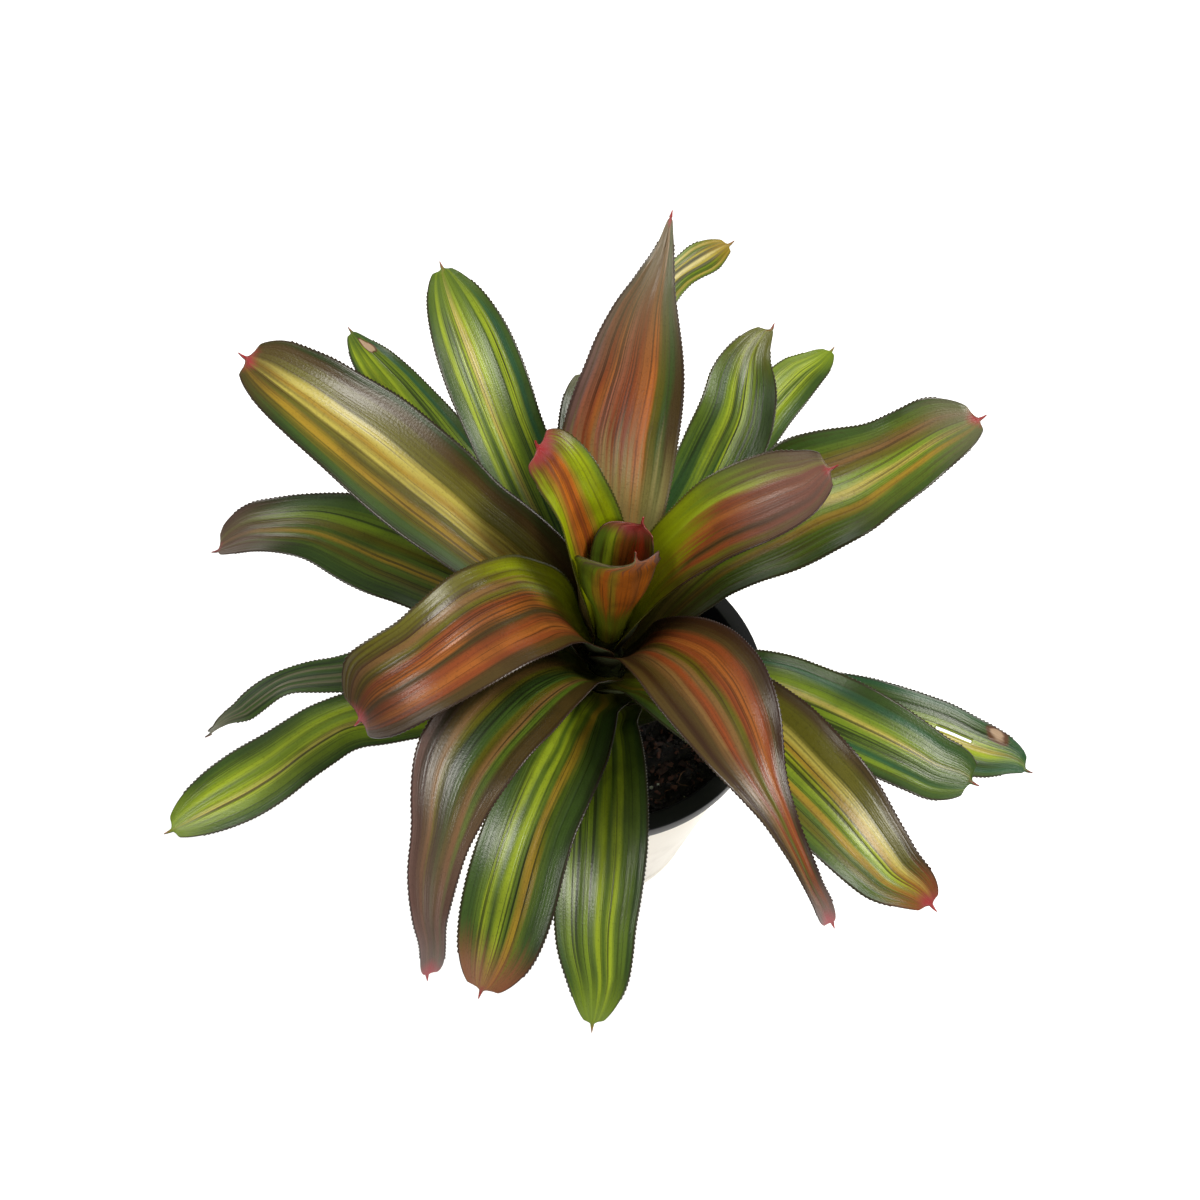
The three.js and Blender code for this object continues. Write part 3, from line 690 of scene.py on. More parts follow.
def lean(ends, s):
    """A curve that leaves the first value, leans towards the second and ends at the third."""
    a, b, c = ends
    return (1 - s) ** 2 * a + 2 * s * (1 - s) * b + s * s * c


def stem_radius(z):
    return mix(STEM_RADIUS_LOW, STEM_RADIUS_HIGH, clamp01((z - MIX_LEVEL) / (STEM_TOP - MIX_LEVEL)))


# %% Midrib and outline of a leaf
def midrib(leaf):
    """Evenly spaced points along the midrib, each with its sideways and upward directions."""
    step = leaf["length"] / MIDRIB_STEPS
    heading = math.radians(leaf["heading"])
    wall = LEAF_THICKNESS / 2 / math.sin(math.radians(leaf["climb"][0]))
    start = stem_radius(leaf["seat"]) + SEAT_GAP + wall
    along = np.arange(MIDRIB_STEPS + 1) * step
    blade = clamp01((along - SHEATH_LENGTH) / (leaf["length"] - SPINE_LENGTH - SHEATH_LENGTH))
    climb = np.radians(lean(leaf["climb"], blade))
    way = heading + np.radians(lean((0, *leaf["turn"]), blade))
    level = np.stack([np.cos(way), np.sin(way), 0 * way], axis=1)
    forward = np.cos(climb)[:, None] * level + np.sin(climb)[:, None] * np.array([0, 0, 1])
    side = np.stack([-np.sin(way), np.cos(way), 0 * way], axis=1)
    foot = np.array([start * math.cos(heading), start * math.sin(heading), leaf["seat"]])
    at = foot + np.vstack([np.zeros(3), np.cumsum(forward[:-1] * step, axis=0)])
    return dict(along=along, blade=blade, at=at, side=side, up=np.cross(forward, side))


def half_width(leaf, blade):
    """Half the blade's width, without its spine."""
    spread = np.where(blade < NECK_AT, *NECK_SPREAD)
    pinch = 1 - leaf["pinch"] * np.exp(-(((blade - NECK_AT) / spread) ** 2))
    widening = mix(WAIST_WIDTH, 1, np.sin(np.pi / 2 * blade / leaf["widest"]))
    to_tip = clamp01((blade - leaf["widest"]) / (1 - leaf["widest"]))
    rounding = np.sqrt(np.maximum(1 - to_tip ** TIP_BLUNTNESS, 0))
    return leaf["width"] / 2 * pinch * np.where(blade < leaf["widest"], widening, rounding)


# %% [markdown]
# A real leaf isn't the same on both sides of its midrib: it swells and narrows a little as it grew
# past its neighbours. Each leaf's left and right margin is therefore read off the photograph as a
# share of the plain half width, at a few places along the leaf. A share below zero is a margin that
# is rolled past the midrib. The spine at the end is a thorn that the blade runs out into in a hollow
# curve. It can stand a little to one side, and the blade before it is more or less pointed.

# %% Margins of the leaves
PLAIN = [(0, 1)]
MARGINS = {
    "heart_back": ([(0.3, 1), (0.6, 1.1), (0.8, 1.05), (0.95, 0.9)],) * 2,
    "heart_front": ([(0.3, 1), (0.6, 1.08), (0.85, 1.15)],) * 2,
    "heart_left": ([(0, 1), (0.6, 0.9), (0.8, 0.75), (0.95, 0.75)],
                   [(0.3, 1), (0.5, 1.15), (0.7, 0.95), (0.95, 0.9)]),
    "upper_right": ([(0.3, 1), (0.6, 1.08), (0.9, 1.15)],
                    [(0.1, 0.5), (0.3, 0.45), (0.5, 0.6), (0.62, 0.7), (0.76, 1.0), (0.88, 1.12)]),
    "upper_back": ([(0.3, 1.1), (0.5, 1.3), (0.65, 1.15), (0.79, 1.34), (0.85, 1.05), (0.9, 0.64),
                    (0.94, 0.38)],
                   [(0.3, 0.8), (0.5, 0.84), (0.7, 0.95), (0.85, 1.05), (0.92, 0.9), (0.96, 0.5)]),
    "upper_front_left": ([(0.1, 0.7), (0.25, 0.5), (0.4, 0.62), (0.5, 0.79), (0.65, 0.91), (0.9, 1.1)],
                         [(0.1, 1), (0.25, 1.25), (0.4, 1.2), (0.6, 0.98), (0.7, 0.82), (0.78, 0.76),
                          (0.85, 0.9), (0.91, 1.15)]),
    "upper_front_right": ([(0.1, 1.1), (0.4, 1.3), (0.5, 1.22), (0.6, 0.98), (0.7, 0.55), (0.8, 0.32),
                           (0.87, 0.36), (0.92, 0.62), (0.96, 0.4)],
                          [(0.1, 0.6), (0.2, 0.5), (0.3, 0.62), (0.45, 0.76), (0.62, 0.82), (0.75, 0.66),
                           (0.81, 0.85), (0.88, 1.3), (0.95, 1.2)]),
    "upper_left": ([(0.1, 1), (0.3, 1.25), (0.6, 1.36), (0.7, 1.3), (0.8, 1.17), (0.88, 1.12), (0.95, 1.2)],
                   [(0.1, 1), (0.25, 0.9), (0.45, 0.66), (0.6, 0.7), (0.7, 0.77), (0.8, 0.73),
                    (0.9, 0.83), (0.95, 1.0)]),
    "upper_far_right": ([(0.2, 1.1), (0.6, 1.27), (0.7, 1.1), (0.78, 0.93), (0.86, 0.96), (0.93, 1.2)],
                        [(0.1, 0.7), (0.35, 0.6), (0.42, 0.75), (0.5, 0.93), (0.6, 0.98), (0.69, 1.14),
                         (0.78, 0.93), (0.87, 0.76), (0.94, 0.9)]),
    "middle_front_left": ([(0.1, 0.7), (0.3, 0.81), (0.45, 0.8), (0.55, 0.69), (0.65, 0.56), (0.73, 0.52),
                           (0.8, 0.68), (0.84, 0.74), (0.87, 0.7), (0.91, 1.05), (0.95, 1.3)],
                          [(0.1, 1), (0.3, 1.2), (0.6, 1.34), (0.72, 1.07), (0.8, 1.37), (0.85, 1.34),
                           (0.9, 0.92), (0.94, 0.62)]),
    "middle_back_left": ([(0.2, 1.1), (0.5, 1.3), (0.93, 1.34)],
                         [(0.2, 0.8), (0.45, 0.66), (0.6, 0.67), (0.7, 0.79), (0.8, 0.91), (0.94, 0.95)]),
    "middle_right_low": ([(0.2, 1.1), (0.55, 1.1), (0.65, 0.94), (0.75, 0.87), (0.82, 0.77), (0.9, 0.72),
                          (0.95, 0.9)],
                         [(0.2, 1.1), (0.5, 1.3), (0.8, 1.38), (0.9, 1.36), (0.96, 1.1)]),
    "middle_back_right": ([(0.2, 1), (0.5, 0.8), (0.7, 0.86), (0.75, 0.98), (0.8, 1.24), (0.86, 1.4),
                           (0.95, 1.35)],
                          [(0.2, 1), (0.5, 1.3), (0.72, 1.35), (0.8, 1.17), (0.85, 0.9), (0.9, 0.45),
                           (0.95, 0.3)]),
    "middle_left": ([(0.2, 1.1), (0.5, 1.35), (0.6, 1.28), (0.66, 1.05), (0.75, 0.62), (0.82, 0.53),
                     (0.9, 0.4), (0.95, 0.5)],
                    [(0.2, 0.8), (0.5, 0.9), (0.7, 1.0), (0.85, 1.04), (0.94, 1.3)]),
    "middle_front": ([(0.2, 0.9), (0.4, 0.93), (0.5, 0.84), (0.62, 0.75), (0.7, 0.8), (0.8, 0.95),
                      (0.9, 1.12)], PLAIN),
    "middle_right": ([(0.2, 1.1), (0.5, 1.2), (0.7, 1.05), (0.88, 1.04), (0.94, 1.2)],
                     [(0.3, 1), (0.87, 1.05), (0.94, 1.3)]),
    "lower_front": ([(0.2, 1), (0.6, 0.98), (0.7, 0.91), (0.78, 0.85), (0.85, 0.94), (0.9, 1.06)],
                    [(0.3, 1), (0.83, 0.99), (0.9, 0.86), (0.95, 0.84)]),
    "lower_back": ([(0.3, 1), (0.7, 0.9)], [(0.3, 1), (0.8, 1.2)]),
    "lower_far_back": ([(0.3, 1), (0.7, 0.9), (0.88, 0.95), (0.93, 1.4)],
                       [(0.3, 1), (0.7, 0.45), (0.84, 0.36), (0.88, 0.5), (0.93, 1.35)]),
    "lower_left": ([(0.2, 1), (0.5, 0.7), (0.65, 0.3), (0.72, 0), (0.78, -0.4), (0.86, -0.24), (0.92, -0.3),
                    (0.97, 0)],
                   [(0.2, 1), (0.5, 1.1), (0.65, 1.0), (0.72, 1.3), (0.8, 1.5), (0.9, 1.55), (0.96, 1.4)]),
    "lower_back_left": ([(0.3, 1), (0.6, 1.2)],
                        [(0.3, 1), (0.6, 0.75), (0.8, 0.72), (0.87, 0.65), (0.95, 0.55)]),
    "lower_back_right": ([(0.3, 1), (0.7, 1.2), (0.9, 1.4), (0.92, 1.2), (0.95, 1.25)],
                         [(0.3, 0.8), (0.6, 0.5), (0.75, 0.44), (0.85, 0.58), (0.9, 0.7), (0.95, 0.9)]),
    "lower_front_left": ([(0.2, 0.9), (0.45, 0.6), (0.53, 0.42), (0.59, 0.16), (0.64, 0.35), (0.7, 0.58),
                          (0.76, 0.9), (0.82, 1.1), (0.95, 1.2)],
                         [(0.2, 1), (0.5, 1.3), (0.65, 1.36), (0.75, 1.19), (0.85, 1.21), (0.94, 1.3)]),
    "lower_right": ([(0.3, 1), (0.65, 1.02), (0.78, 1.13), (0.85, 1.08), (0.94, 1.35)],
                    [(0.3, 1), (0.8, 1.15), (0.88, 1.02), (0.92, 0.84), (0.96, 0.55)]),
}
# How far each thorn stands to the left of the midrib, in metres.
THORN_ASIDE = {
    "heart_front": 0.006, "heart_back": -0.004, "heart_left": 0.002,
    "upper_right": 0.003, "upper_front_right": 0.002, "middle_front_left": -0.002,
    "middle_right_low": 0.0025, "middle_right": 0.0035, "lower_right": 0.002, "lower_left": -0.006,
}
THORN_ASIDE_FROM = 0.88
# The share of the half width that is gone at the thorn. One below zero is a blunt, hooded end.
POINTED = {
    "heart_left": -0.1, "heart_back": -0.1, "heart_front": -0.2,
    "upper_left": 0.05, "upper_back": 0.4, "upper_front_left": 0.1, "upper_front_right": 0.0,
    "middle_back_left": 0.3, "middle_front": 0.1, "middle_right": 0.0, "middle_front_left": 0.1,
    "lower_front": 0.3, "lower_back_left": 0.35, "lower_back_right": 0.35, "lower_front_left": 0.15,
}
POINTED_PLAIN = 0.2
POINT_LENGTH = 0.014
MARGIN_EASE = 0.022
MARGIN_EASE_STEPS = 5
TAIL_GROWTH = 0.0005
TAIL_LENGTH = 0.0006
TAIL_STEPS = 6
SPINE_CURL = 0.0008
SPINE_END_HALF_WIDTH = 0.00012
BLADE_STOPS_PAST = 0.0008
EDGE_BLEND = 0.0004


# %% Edges of a leaf
def margin_share(places, u):
    """The share read off the photo, with its corners eased."""
    at, share = zip(*places)
    steps = np.linspace(-MARGIN_EASE, MARGIN_EASE, MARGIN_EASE_STEPS)
    return np.mean([np.interp(u + step, at, share) for step in steps], axis=0)


def soft_min(a, b):
    """The smaller of two widths, with the corner between them rounded."""
    low = np.minimum(a, b)
    return low - EDGE_BLEND * np.log(np.exp((low - a) / EDGE_BLEND) + np.exp((low - b) / EDGE_BLEND))


def leaf_edges(name, u):
    """How far the left and the right edge lie from the midrib, and the plain half width."""
    leaf = LEAVES[name]
    along = u * leaf["length"]
    root = leaf["length"] - SPINE_LENGTH
    blade = clamp01((along - SHEATH_LENGTH) / (root - SHEATH_LENGTH))
    bare = half_width(leaf, clamp01((along - SHEATH_LENGTH) / (root + BLADE_STOPS_PAST - SHEATH_LENGTH)))
    to_root = np.maximum(root - along, 0)
    bare = bare * (1 - POINTED.get(name, POINTED_PLAIN) * np.exp(-to_root / POINT_LENGTH))
    past = clamp01((along - root) / SPINE_LENGTH)
    thorn = mix(SPINE_HALF_WIDTH, SPINE_END_HALF_WIDTH, past)
    before = np.minimum(to_root / TAIL_LENGTH, TAIL_STEPS)
    tail = thorn + TAIL_GROWTH * (np.exp(before) - 1)
    aside = THORN_ASIDE.get(name, 0) * smooth(THORN_ASIDE_FROM, 1, blade)
    left, right = [bare * margin_share(side, u) for side in MARGINS.get(name, (PLAIN, PLAIN))]
    left = np.where(past > 0, aside + thorn, soft_min(left, tail) + aside)
    right = np.where(past > 0, thorn - aside, soft_min(right, tail) - aside)
    return left, right, bare


tips = [sum(leaf_edges(name, np.array([0.9]))[:2])[0] for name in LEAVES]
print(f"nine tenths along, the leaves are {min(tips) * 1000:.0f} to {max(tips) * 1000:.0f} mm wide")

# %% [markdown]
# The surface then has three parts: the cone of the sheath, the trough of the blade, and on the trough
# a relief of shallow pleats, a groove over the midrib and ripples that grow towards the margins.

# %% Surface of a leaf
PLEAT_HEIGHT = 0.0002
PLEATS = 13
FINE_PLEATS = 23
FINE_PLEAT_SHARE = 0.8
PLEATS_START = (0, 0.2)
PLEATS_END = (0.85, 1)
MIDRIB_GROOVE = 0.00035
MIDRIB_GROOVE_WIDTH = 0.13
TROUGH_OPENS_BY = 0.16
TROUGH_OPENING_POWER = 1.5
TIP_FOLDS_FROM = 0.6
FLATTEST_SHARE = 0.35
RIPPLE_RADIANS = 19
RIPPLE_EDGE_SHIFT = 1.9
RIPPLES_START = (0.1, 0.5)
RIPPLES_END = (0.86, 0.96)
FREE_OF_SHEATH = (0.45 * SHEATH_LENGTH, 1.5 * SHEATH_LENGTH)


def relief(blade, across, seed):
    """Pleats along the leaf and the shallow groove over its midrib, as height above the trough."""
    pleats = np.sin(PLEATS * across + seed)
    pleats = pleats + FINE_PLEAT_SHARE * np.sin(FINE_PLEATS * across + 2 * seed + 2 * blade)
    calm = (1 - across ** 2) * smooth(*PLEATS_START, blade) * (1 - smooth(*PLEATS_END, blade))
    groove = np.exp(-((across / MIDRIB_GROOVE_WIDTH) ** 2))
    return calm * (PLEAT_HEIGHT * pleats - MIDRIB_GROOVE * groove)


def ripples(leaf, blade, across):
    """Waves along both margins, out of step with each other, that die away towards the midrib."""
    waves = np.sin(blade * RIPPLE_RADIANS + leaf["heading"] + np.where(across > 0, RIPPLE_EDGE_SHIFT, 0))
    waves = waves * np.abs(across) ** 3
    return leaf["ripple"] * waves * smooth(*RIPPLES_START, blade) * (1 - smooth(*RIPPLES_END, blade))


def leaf_surface(name, u, across, seed, tooth=0):
    """Points of the leaf's middle surface. u runs from the seat to the tip, across from -1 to 1."""
    leaf = LEAVES[name]
    rib = midrib(leaf)
    place = clamp01(u) * MIDRIB_STEPS
    low = np.minimum(np.floor(place).astype(int), MIDRIB_STEPS - 1)
    share = place - low

    def between(key):
        values = rib[key]
        s = share if values.ndim == 1 else share[..., None]
        return values[low] * (1 - s) + values[low + 1] * s

    at, along, blade = between("at"), between("along"), between("blade")
    side = between("side") / np.linalg.norm(between("side"), axis=-1, keepdims=True)
    up = between("up") / np.linalg.norm(between("up"), axis=-1, keepdims=True)
    left, right, bare = leaf_edges(name, u)
    off = mix(-right, left, (across + 1) / 2) + np.sign(across) * tooth

    # In the sheath the leaf is part of a cone round the stem.
    sheath_half = math.radians(leaf["channel"][0])
    distance = np.hypot(at[..., 0], at[..., 1])
    bearing = np.arctan2(at[..., 1], at[..., 0]) + sheath_half * across
    cone = np.stack([distance * np.cos(bearing), distance * np.sin(bearing), at[..., 2]], axis=-1)

    # In the blade it is a trough across the midrib, which opens as it leaves the sheath.
    opened = np.radians(mix(*leaf["channel"][1:], smooth(TIP_FOLDS_FROM, 1, blade)))
    closing = np.exp(-((blade / TROUGH_OPENS_BY) ** TROUGH_OPENING_POWER))
    half = mix(opened, sheath_half, closing)
    radius = np.maximum(bare, FLATTEST_SHARE * leaf["width"] / 2) / half
    turn = off / radius
    curl = SPINE_CURL * clamp01((along - leaf["length"] + SPINE_LENGTH) / SPINE_LENGTH) ** 2
    rise = radius * (1 - np.cos(turn)) + ripples(leaf, blade, across) + curl + relief(blade, across, seed)
    trough = at + side * (radius * np.sin(turn))[..., None] + up * rise[..., None]
    free = smooth(*FREE_OF_SHEATH, along)[..., None]
    return cone * (1 - free) + trough * free


middle = leaf_surface("upper_back", np.array([0.5]), np.array([0.0]), 0)[0]
print("the middle of the tall back leaf is at", middle.round(3).tolist())

# %% [markdown]
# ## Growing a leaf
# The flat grid gets its thickness from a Solidify modifier, which is thinner towards the margins
# through a vertex group. The leaf's own coordinates go into a UV map before that, because Solidify
# copies them to both faces, so that the underside's fine lines follow the leaf too. The young leaves
# of the heart have their stripes on both faces. One old leaf is slit near its tip: there, a few faces
# of the grid are deleted before it gets its thickness.

# %% Making a leaf's grid
TOOTH_PITCH = 0.0015
TOOTH_HEIGHT = 0.00045
TOOTH_LEAN = 0.0004
MARGIN_STRIP = 0.045
COLUMNS_ACROSS = 22
TIP_ROWS_OVER = 0.009
TIP_ROWS = 24
SPINE_ROWS = 6
MARGIN_THINNING = 0.55
LEAF_SLOTS = {"heart": "young_leaf", "upper": "copper_leaf", "middle": "striped_leaf", "lower": "old_leaf"}
SLITS = {"lower_right": dict(across=0.22, start=0.76, end=0.845)}


def deselect():
    if bpy.context.object and bpy.context.object.mode != "OBJECT":
        bpy.ops.object.mode_set(mode="OBJECT")
    bpy.ops.object.select_all(action="DESELECT")


def settle(piece, slot, *nodes):
    """Rides the piece on the plant's body and hides what it replaces. The slot is not used."""
    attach(piece, BODY)
    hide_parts(*nodes)
    return piece


def leaf_rows(leaf):
    """Places of the grid's rows along the leaf, and which of them carry teeth."""
    root = leaf["length"] - SPINE_LENGTH
    plain = np.arange(0, root - TIP_ROWS_OVER, TOOTH_PITCH / 2)
    tip = np.linspace(root - TIP_ROWS_OVER, root, TIP_ROWS)
    spine = np.linspace(root, leaf["length"], SPINE_ROWS + 1)[1:]
    rows = np.concatenate([plain, tip, spine])
    toothed = (np.arange(len(rows)) % 2 == 1) & (rows > SHEATH_LENGTH) & (rows < root - TIP_ROWS_OVER)
    return rows, toothed


def leaf_columns():
    inner = np.linspace(-1 + MARGIN_STRIP, 1 - MARGIN_STRIP, COLUMNS_ACROSS - 1)
    return np.concatenate([[-1], inner, [1]])


def flat_grid(name, rows, columns):
    """A flat grid with this many rows and columns, and the row and column of each of its points."""
    deselect()
    bpy.ops.mesh.primitive_grid_add(x_subdivisions=rows - 1, y_subdivisions=columns - 1, size=2)
    piece = bpy.context.object
    piece.name = name
    flat = np.empty(len(piece.data.vertices) * 3)
    piece.data.vertices.foreach_get("co", flat)
    flat = flat.reshape(-1, 3)
    row = np.rint((flat[:, 0] + 1) / 2 * (rows - 1)).astype(int)
    column = np.rint((flat[:, 1] + 1) / 2 * (columns - 1)).astype(int)
    return piece, row, column


def write_coordinates(mesh, leaf, along, across):
    """Keeps the leaf's own coordinates in a UV map, and the distance to the tip in an attribute."""
    corners = np.empty(len(mesh.loops), int)
    mesh.loops.foreach_get("vertex_index", corners)
    places = np.stack([along / leaf["length"], (across + 1) / 2], axis=1)
    layer = mesh.uv_layers[0]
    layer.name = "blade"
    layer.data.foreach_set("uv", places[corners].ravel())
    to_tip = mesh.attributes.new("to_tip", "FLOAT", "POINT")
    to_tip.data.foreach_set("value", leaf["length"] - along)


def slit(piece, across, start, end):
    """Opens a slit in the blade, one column of faces wide."""
    gone = []
    layer = piece.data.uv_layers["blade"].data
    for face in piece.data.polygons:
        corners = [layer[k].uv for k in face.loop_indices]
        u, v = sum(corners, Vector((0, 0))) / len(corners)
        gone.append(start < u < end and abs(2 * v - 1 - across) < 1 / COLUMNS_ACROSS)
    bpy.ops.object.mode_set(mode="EDIT")
    bpy.ops.mesh.select_mode(type="FACE")
    bpy.ops.mesh.select_all(action="DESELECT")
    bpy.ops.object.mode_set(mode="OBJECT")
    piece.data.polygons.foreach_set("select", gone)
    bpy.ops.object.mode_set(mode="EDIT")
    bpy.ops.mesh.delete(type="FACE")
    bpy.ops.mesh.select_mode(type="VERT")
    bpy.ops.object.mode_set(mode="OBJECT")


def thicken(piece, across):
    """Gives the blade its thickness, which thins out towards the margins."""
    thin = piece.vertex_groups.new(name="thin")
    weights = np.round(1 - (1 - MARGIN_THINNING) * np.abs(across) ** 2, 2)
    for weight in np.unique(weights):
        thin.add(np.flatnonzero(weights == weight).tolist(), float(weight), "REPLACE")
    wall = piece.modifiers.new("wall", "SOLIDIFY")
    wall.thickness = LEAF_THICKNESS
    wall.offset = 0
    wall.vertex_group = "thin"
    wall.material_offset = 1
    bpy.ops.object.modifier_apply(modifier="wall")


# %% Growing the leaves
def grow_leaf(name, seed):
    """One leaf: its grid is bent, given its coordinates, slit if it is a slit leaf, and thickened."""
    leaf = LEAVES[name]
    family = name.partition("_")[0]
    rows, toothed = leaf_rows(leaf)
    columns = leaf_columns()
    piece, row, column = flat_grid("blade_" + name, len(rows), len(columns))
    along = rows[row]
    across = columns[column]
    tooth = toothed[row] & (np.abs(across) == 1)
    u = (along + np.where(tooth, TOOTH_LEAN, 0)) / leaf["length"]
    points = leaf_surface(name, u, across, seed, np.where(tooth, TOOTH_HEIGHT, 0))
    piece.data.vertices.foreach_set("co", points.ravel())
    write_coordinates(piece.data, leaf, along, across)
    if name in SLITS:
        slit(piece, **SLITS[name])
    striped = leaf_material(name, seed)
    piece.data.materials.append(striped)
    piece.data.materials.append(striped if family == "heart" else underside)
    thicken(piece, across)
    bpy.ops.object.shade_smooth()
    return settle(piece, LEAF_SLOTS[family], "leaf_" + name)


leaf_pieces = [grow_leaf(name, seed) for seed, name in enumerate(LEAVES)]
print(len(leaf_pieces), "leaves,", sum(len(p.data.polygons) for p in leaf_pieces), "faces")

# %% [markdown]
# ## Turned pieces
# The pots and the stem are round, so each could be a Spin of its profile. Extruding a ring of edges
# step by step and resizing it gives the same shape and leaves even quads, and it is how such a pot
# is often drawn by hand: the ring goes up the outside, over the rim and down the inside.


# %% Turning by extrusion
ROUNDING_SEGMENTS = 3
ROUNDED_FROM_ANGLE = math.radians(25)
SMOOTH_UP_TO_ANGLE = math.radians(40)


def turned(name, profile, sides, round_edges=0.0):
    """A closed round piece from [radius, height] points, from the foot's middle to the inside's."""
    deselect()
    radius, height = profile[0]
    bpy.ops.mesh.primitive_circle_add(vertices=sides, radius=radius, location=(0, 0, height))
    piece = bpy.context.object
    piece.name = name
    bpy.ops.object.transform_apply(location=True, rotation=False, scale=False)
    bpy.ops.object.mode_set(mode="EDIT")
    bpy.ops.mesh.select_all(action="SELECT")
    for next_radius, next_height in profile[1:]:
        rise = {"value": (0, 0, next_height - height)}
        bpy.ops.mesh.extrude_edges_move(TRANSFORM_OT_translate=rise)
        grow = next_radius / radius
        bpy.ops.transform.resize(value=(grow, grow, 1), center_override=(0, 0, next_height))
        radius, height = next_radius, next_height
    bpy.ops.mesh.edge_face_add()
    bpy.ops.mesh.select_all(action="DESELECT")
    bpy.ops.mesh.select_non_manifold()
    bpy.ops.mesh.edge_face_add()
    bpy.ops.mesh.select_all(action="SELECT")
    bpy.ops.mesh.normals_make_consistent(inside=False)
    bpy.ops.object.mode_set(mode="OBJECT")
    if round_edges:
        bevel = piece.modifiers.new("round_edges", "BEVEL")
        bevel.width = round_edges
        bevel.segments = ROUNDING_SEGMENTS
        bevel.angle_limit = ROUNDED_FROM_ANGLE
        bpy.ops.object.modifier_apply(modifier="round_edges")
    bpy.ops.object.shade_smooth_by_angle(angle=SMOOTH_UP_TO_ANGLE)
    return piece


# %% [markdown]
# ## Plastic and its marks
# Both pots are moulded plastic. Under a close look such plastic is never even: it has faint flow
# marks, dust, and water stains. One group gives a fine grain and slow blotches for both pots.

# %% Plastic group
STAIN_DETAIL = 5.0
STREAK_DETAIL = 4.0
STAIN_ROUGHNESS = 0.6
STREAKS_DRAWN_OUT = (1.0, 1.0, 0.25)
STREAKS_FINER = 2.5
STAIN_FADE = (0.42, 0.68)
STREAK_FADE = (0.38, 0.66)
DULL_OF_STAINS = 0.12
DULL_OF_GRAIN = 0.05
PLASTIC_GRAIN = 2600.0
PLASTIC_BUMP_STRENGTH = 0.4


def make_plastic_marks():
    inputs = {"Clean": "colour", "Stained": "colour", "Stain Size": "number", "Stain Amount": "number"}
    outputs = {"Color": "colour", "Dull": "number", "Height": "number"}
    b, i, o = new_group("plastic_marks", inputs, outputs)
    spot = b.node("TexCoord").outputs["Object"]
    blotch = b.noise(spot, i["Stain Size"], STAIN_DETAIL, STAIN_ROUGHNESS)
    streaks = b.node("Mapping")
    b.feed(streaks.inputs["Vector"], spot)
    b.feed(streaks.inputs["Scale"], STREAKS_DRAWN_OUT)
    finer = b.times(i["Stain Size"], STREAKS_FINER)
    streak = b.noise(streaks.outputs[0], finer, STREAK_DETAIL, STAIN_ROUGHNESS)
    both = b.times(b.fade(blotch, *STAIN_FADE), b.fade(streak, *STREAK_FADE))
    grain = b.noise(spot, PLASTIC_GRAIN)
    b.feed(o["Color"], b.blend(b.times(both, i["Stain Amount"]), i["Clean"], i["Stained"]))
    b.feed(o["Dull"], b.math("ADD", b.times(blotch, DULL_OF_STAINS), b.times(grain, DULL_OF_GRAIN)))
    b.feed(o["Height"], grain)
    return b.tree


plastic_marks = make_plastic_marks()
print("plastic marks:", len(plastic_marks.nodes), "nodes")


# %% Plastic materials
def plastic(name, clean, stained, stain_size, stain_amount, roughness, grain_height, shine):
    material, b, shader = new_material(name)
    marks = b.node("Group", node_tree=plastic_marks)
    b.feed(marks.inputs["Clean"], colour(clean))
    b.feed(marks.inputs["Stained"], colour(stained))
    b.feed(marks.inputs["Stain Size"], stain_size)
    b.feed(marks.inputs["Stain Amount"], stain_amount)
    b.feed(shader["Base Color"], marks.outputs["Color"])
    b.feed(shader["Roughness"], b.math("ADD", marks.outputs["Dull"], roughness))
    b.feed(shader["Specular IOR Level"], shine)
    roughen(b, shader, marks.outputs["Height"], Distance=grain_height, Strength=PLASTIC_BUMP_STRENGTH)
    return material


cover_white = plastic("cover_white", clean="e8e0d2", stained="aa9a88", stain_size=20.0,
                      stain_amount=0.5, roughness=0.22, grain_height=0.00004, shine=0.5)
nursery_black = plastic("nursery_black", clean="040508", stained="0c0c10", stain_size=60.0,
                        stain_amount=0.5, roughness=0.34, grain_height=0.00006, shine=0.3)
print("plastic materials:", cover_white.name, nursery_black.name)

# %% [markdown]
# ## The two pots
# The cover pot is a plain tapered cup. Its foot has a fine groove round it and a narrow band below,
# as the photograph shows. The nursery pot is thin, and its lip turns out over the cover pot's rim and
# down again. Both pots' rims are the largest thing under the leaves, so their edges are rounded.

# %% Sizes of the pots
POT_SIDES = 128
LIP_RADIUS = 0.065
LIP_TOP = 0.116
LIP_THICKNESS = 0.0022
LIP_SKIRT = 0.0065
LIP_SKIRT_WALL = 0.0015
COVER_FOOT_RADIUS = 0.047
COVER_WALL = 0.0026
COVER_FLOOR = 0.004
COVER_TO_SKIRT = 0.0008
COVER_TO_NURSERY = 0.0005
NURSERY_WALL = 0.0013
NURSERY_FOOT_RADIUS = 0.042
NURSERY_FLOOR_BOTTOM = 0.007
NURSERY_FLOOR = 0.0018
FOOT_BAND_TOP = 0.009
FOOT_GROOVE = 0.0006

lip_underside = LIP_TOP - LIP_THICKNESS
lip_inner_radius = LIP_RADIUS - LIP_SKIRT_WALL
cover_rim_top = lip_underside - SEAT_GAP
cover_rim_radius = lip_inner_radius - COVER_TO_SKIRT
nursery_rim_radius = cover_rim_radius - COVER_WALL - COVER_TO_NURSERY
nursery_floor_top = NURSERY_FLOOR_BOTTOM + NURSERY_FLOOR
print(f"cover pot: rim {cover_rim_radius * 2000:.1f} mm across, {cover_rim_top * 1000:.1f} mm high")

# %% Pots
COVER_EDGE_ROUNDING = 0.0005
NURSERY_EDGE_ROUNDING = 0.0006


def cover_radius(z):
    return mix(COVER_FOOT_RADIUS, cover_rim_radius, z / cover_rim_top)


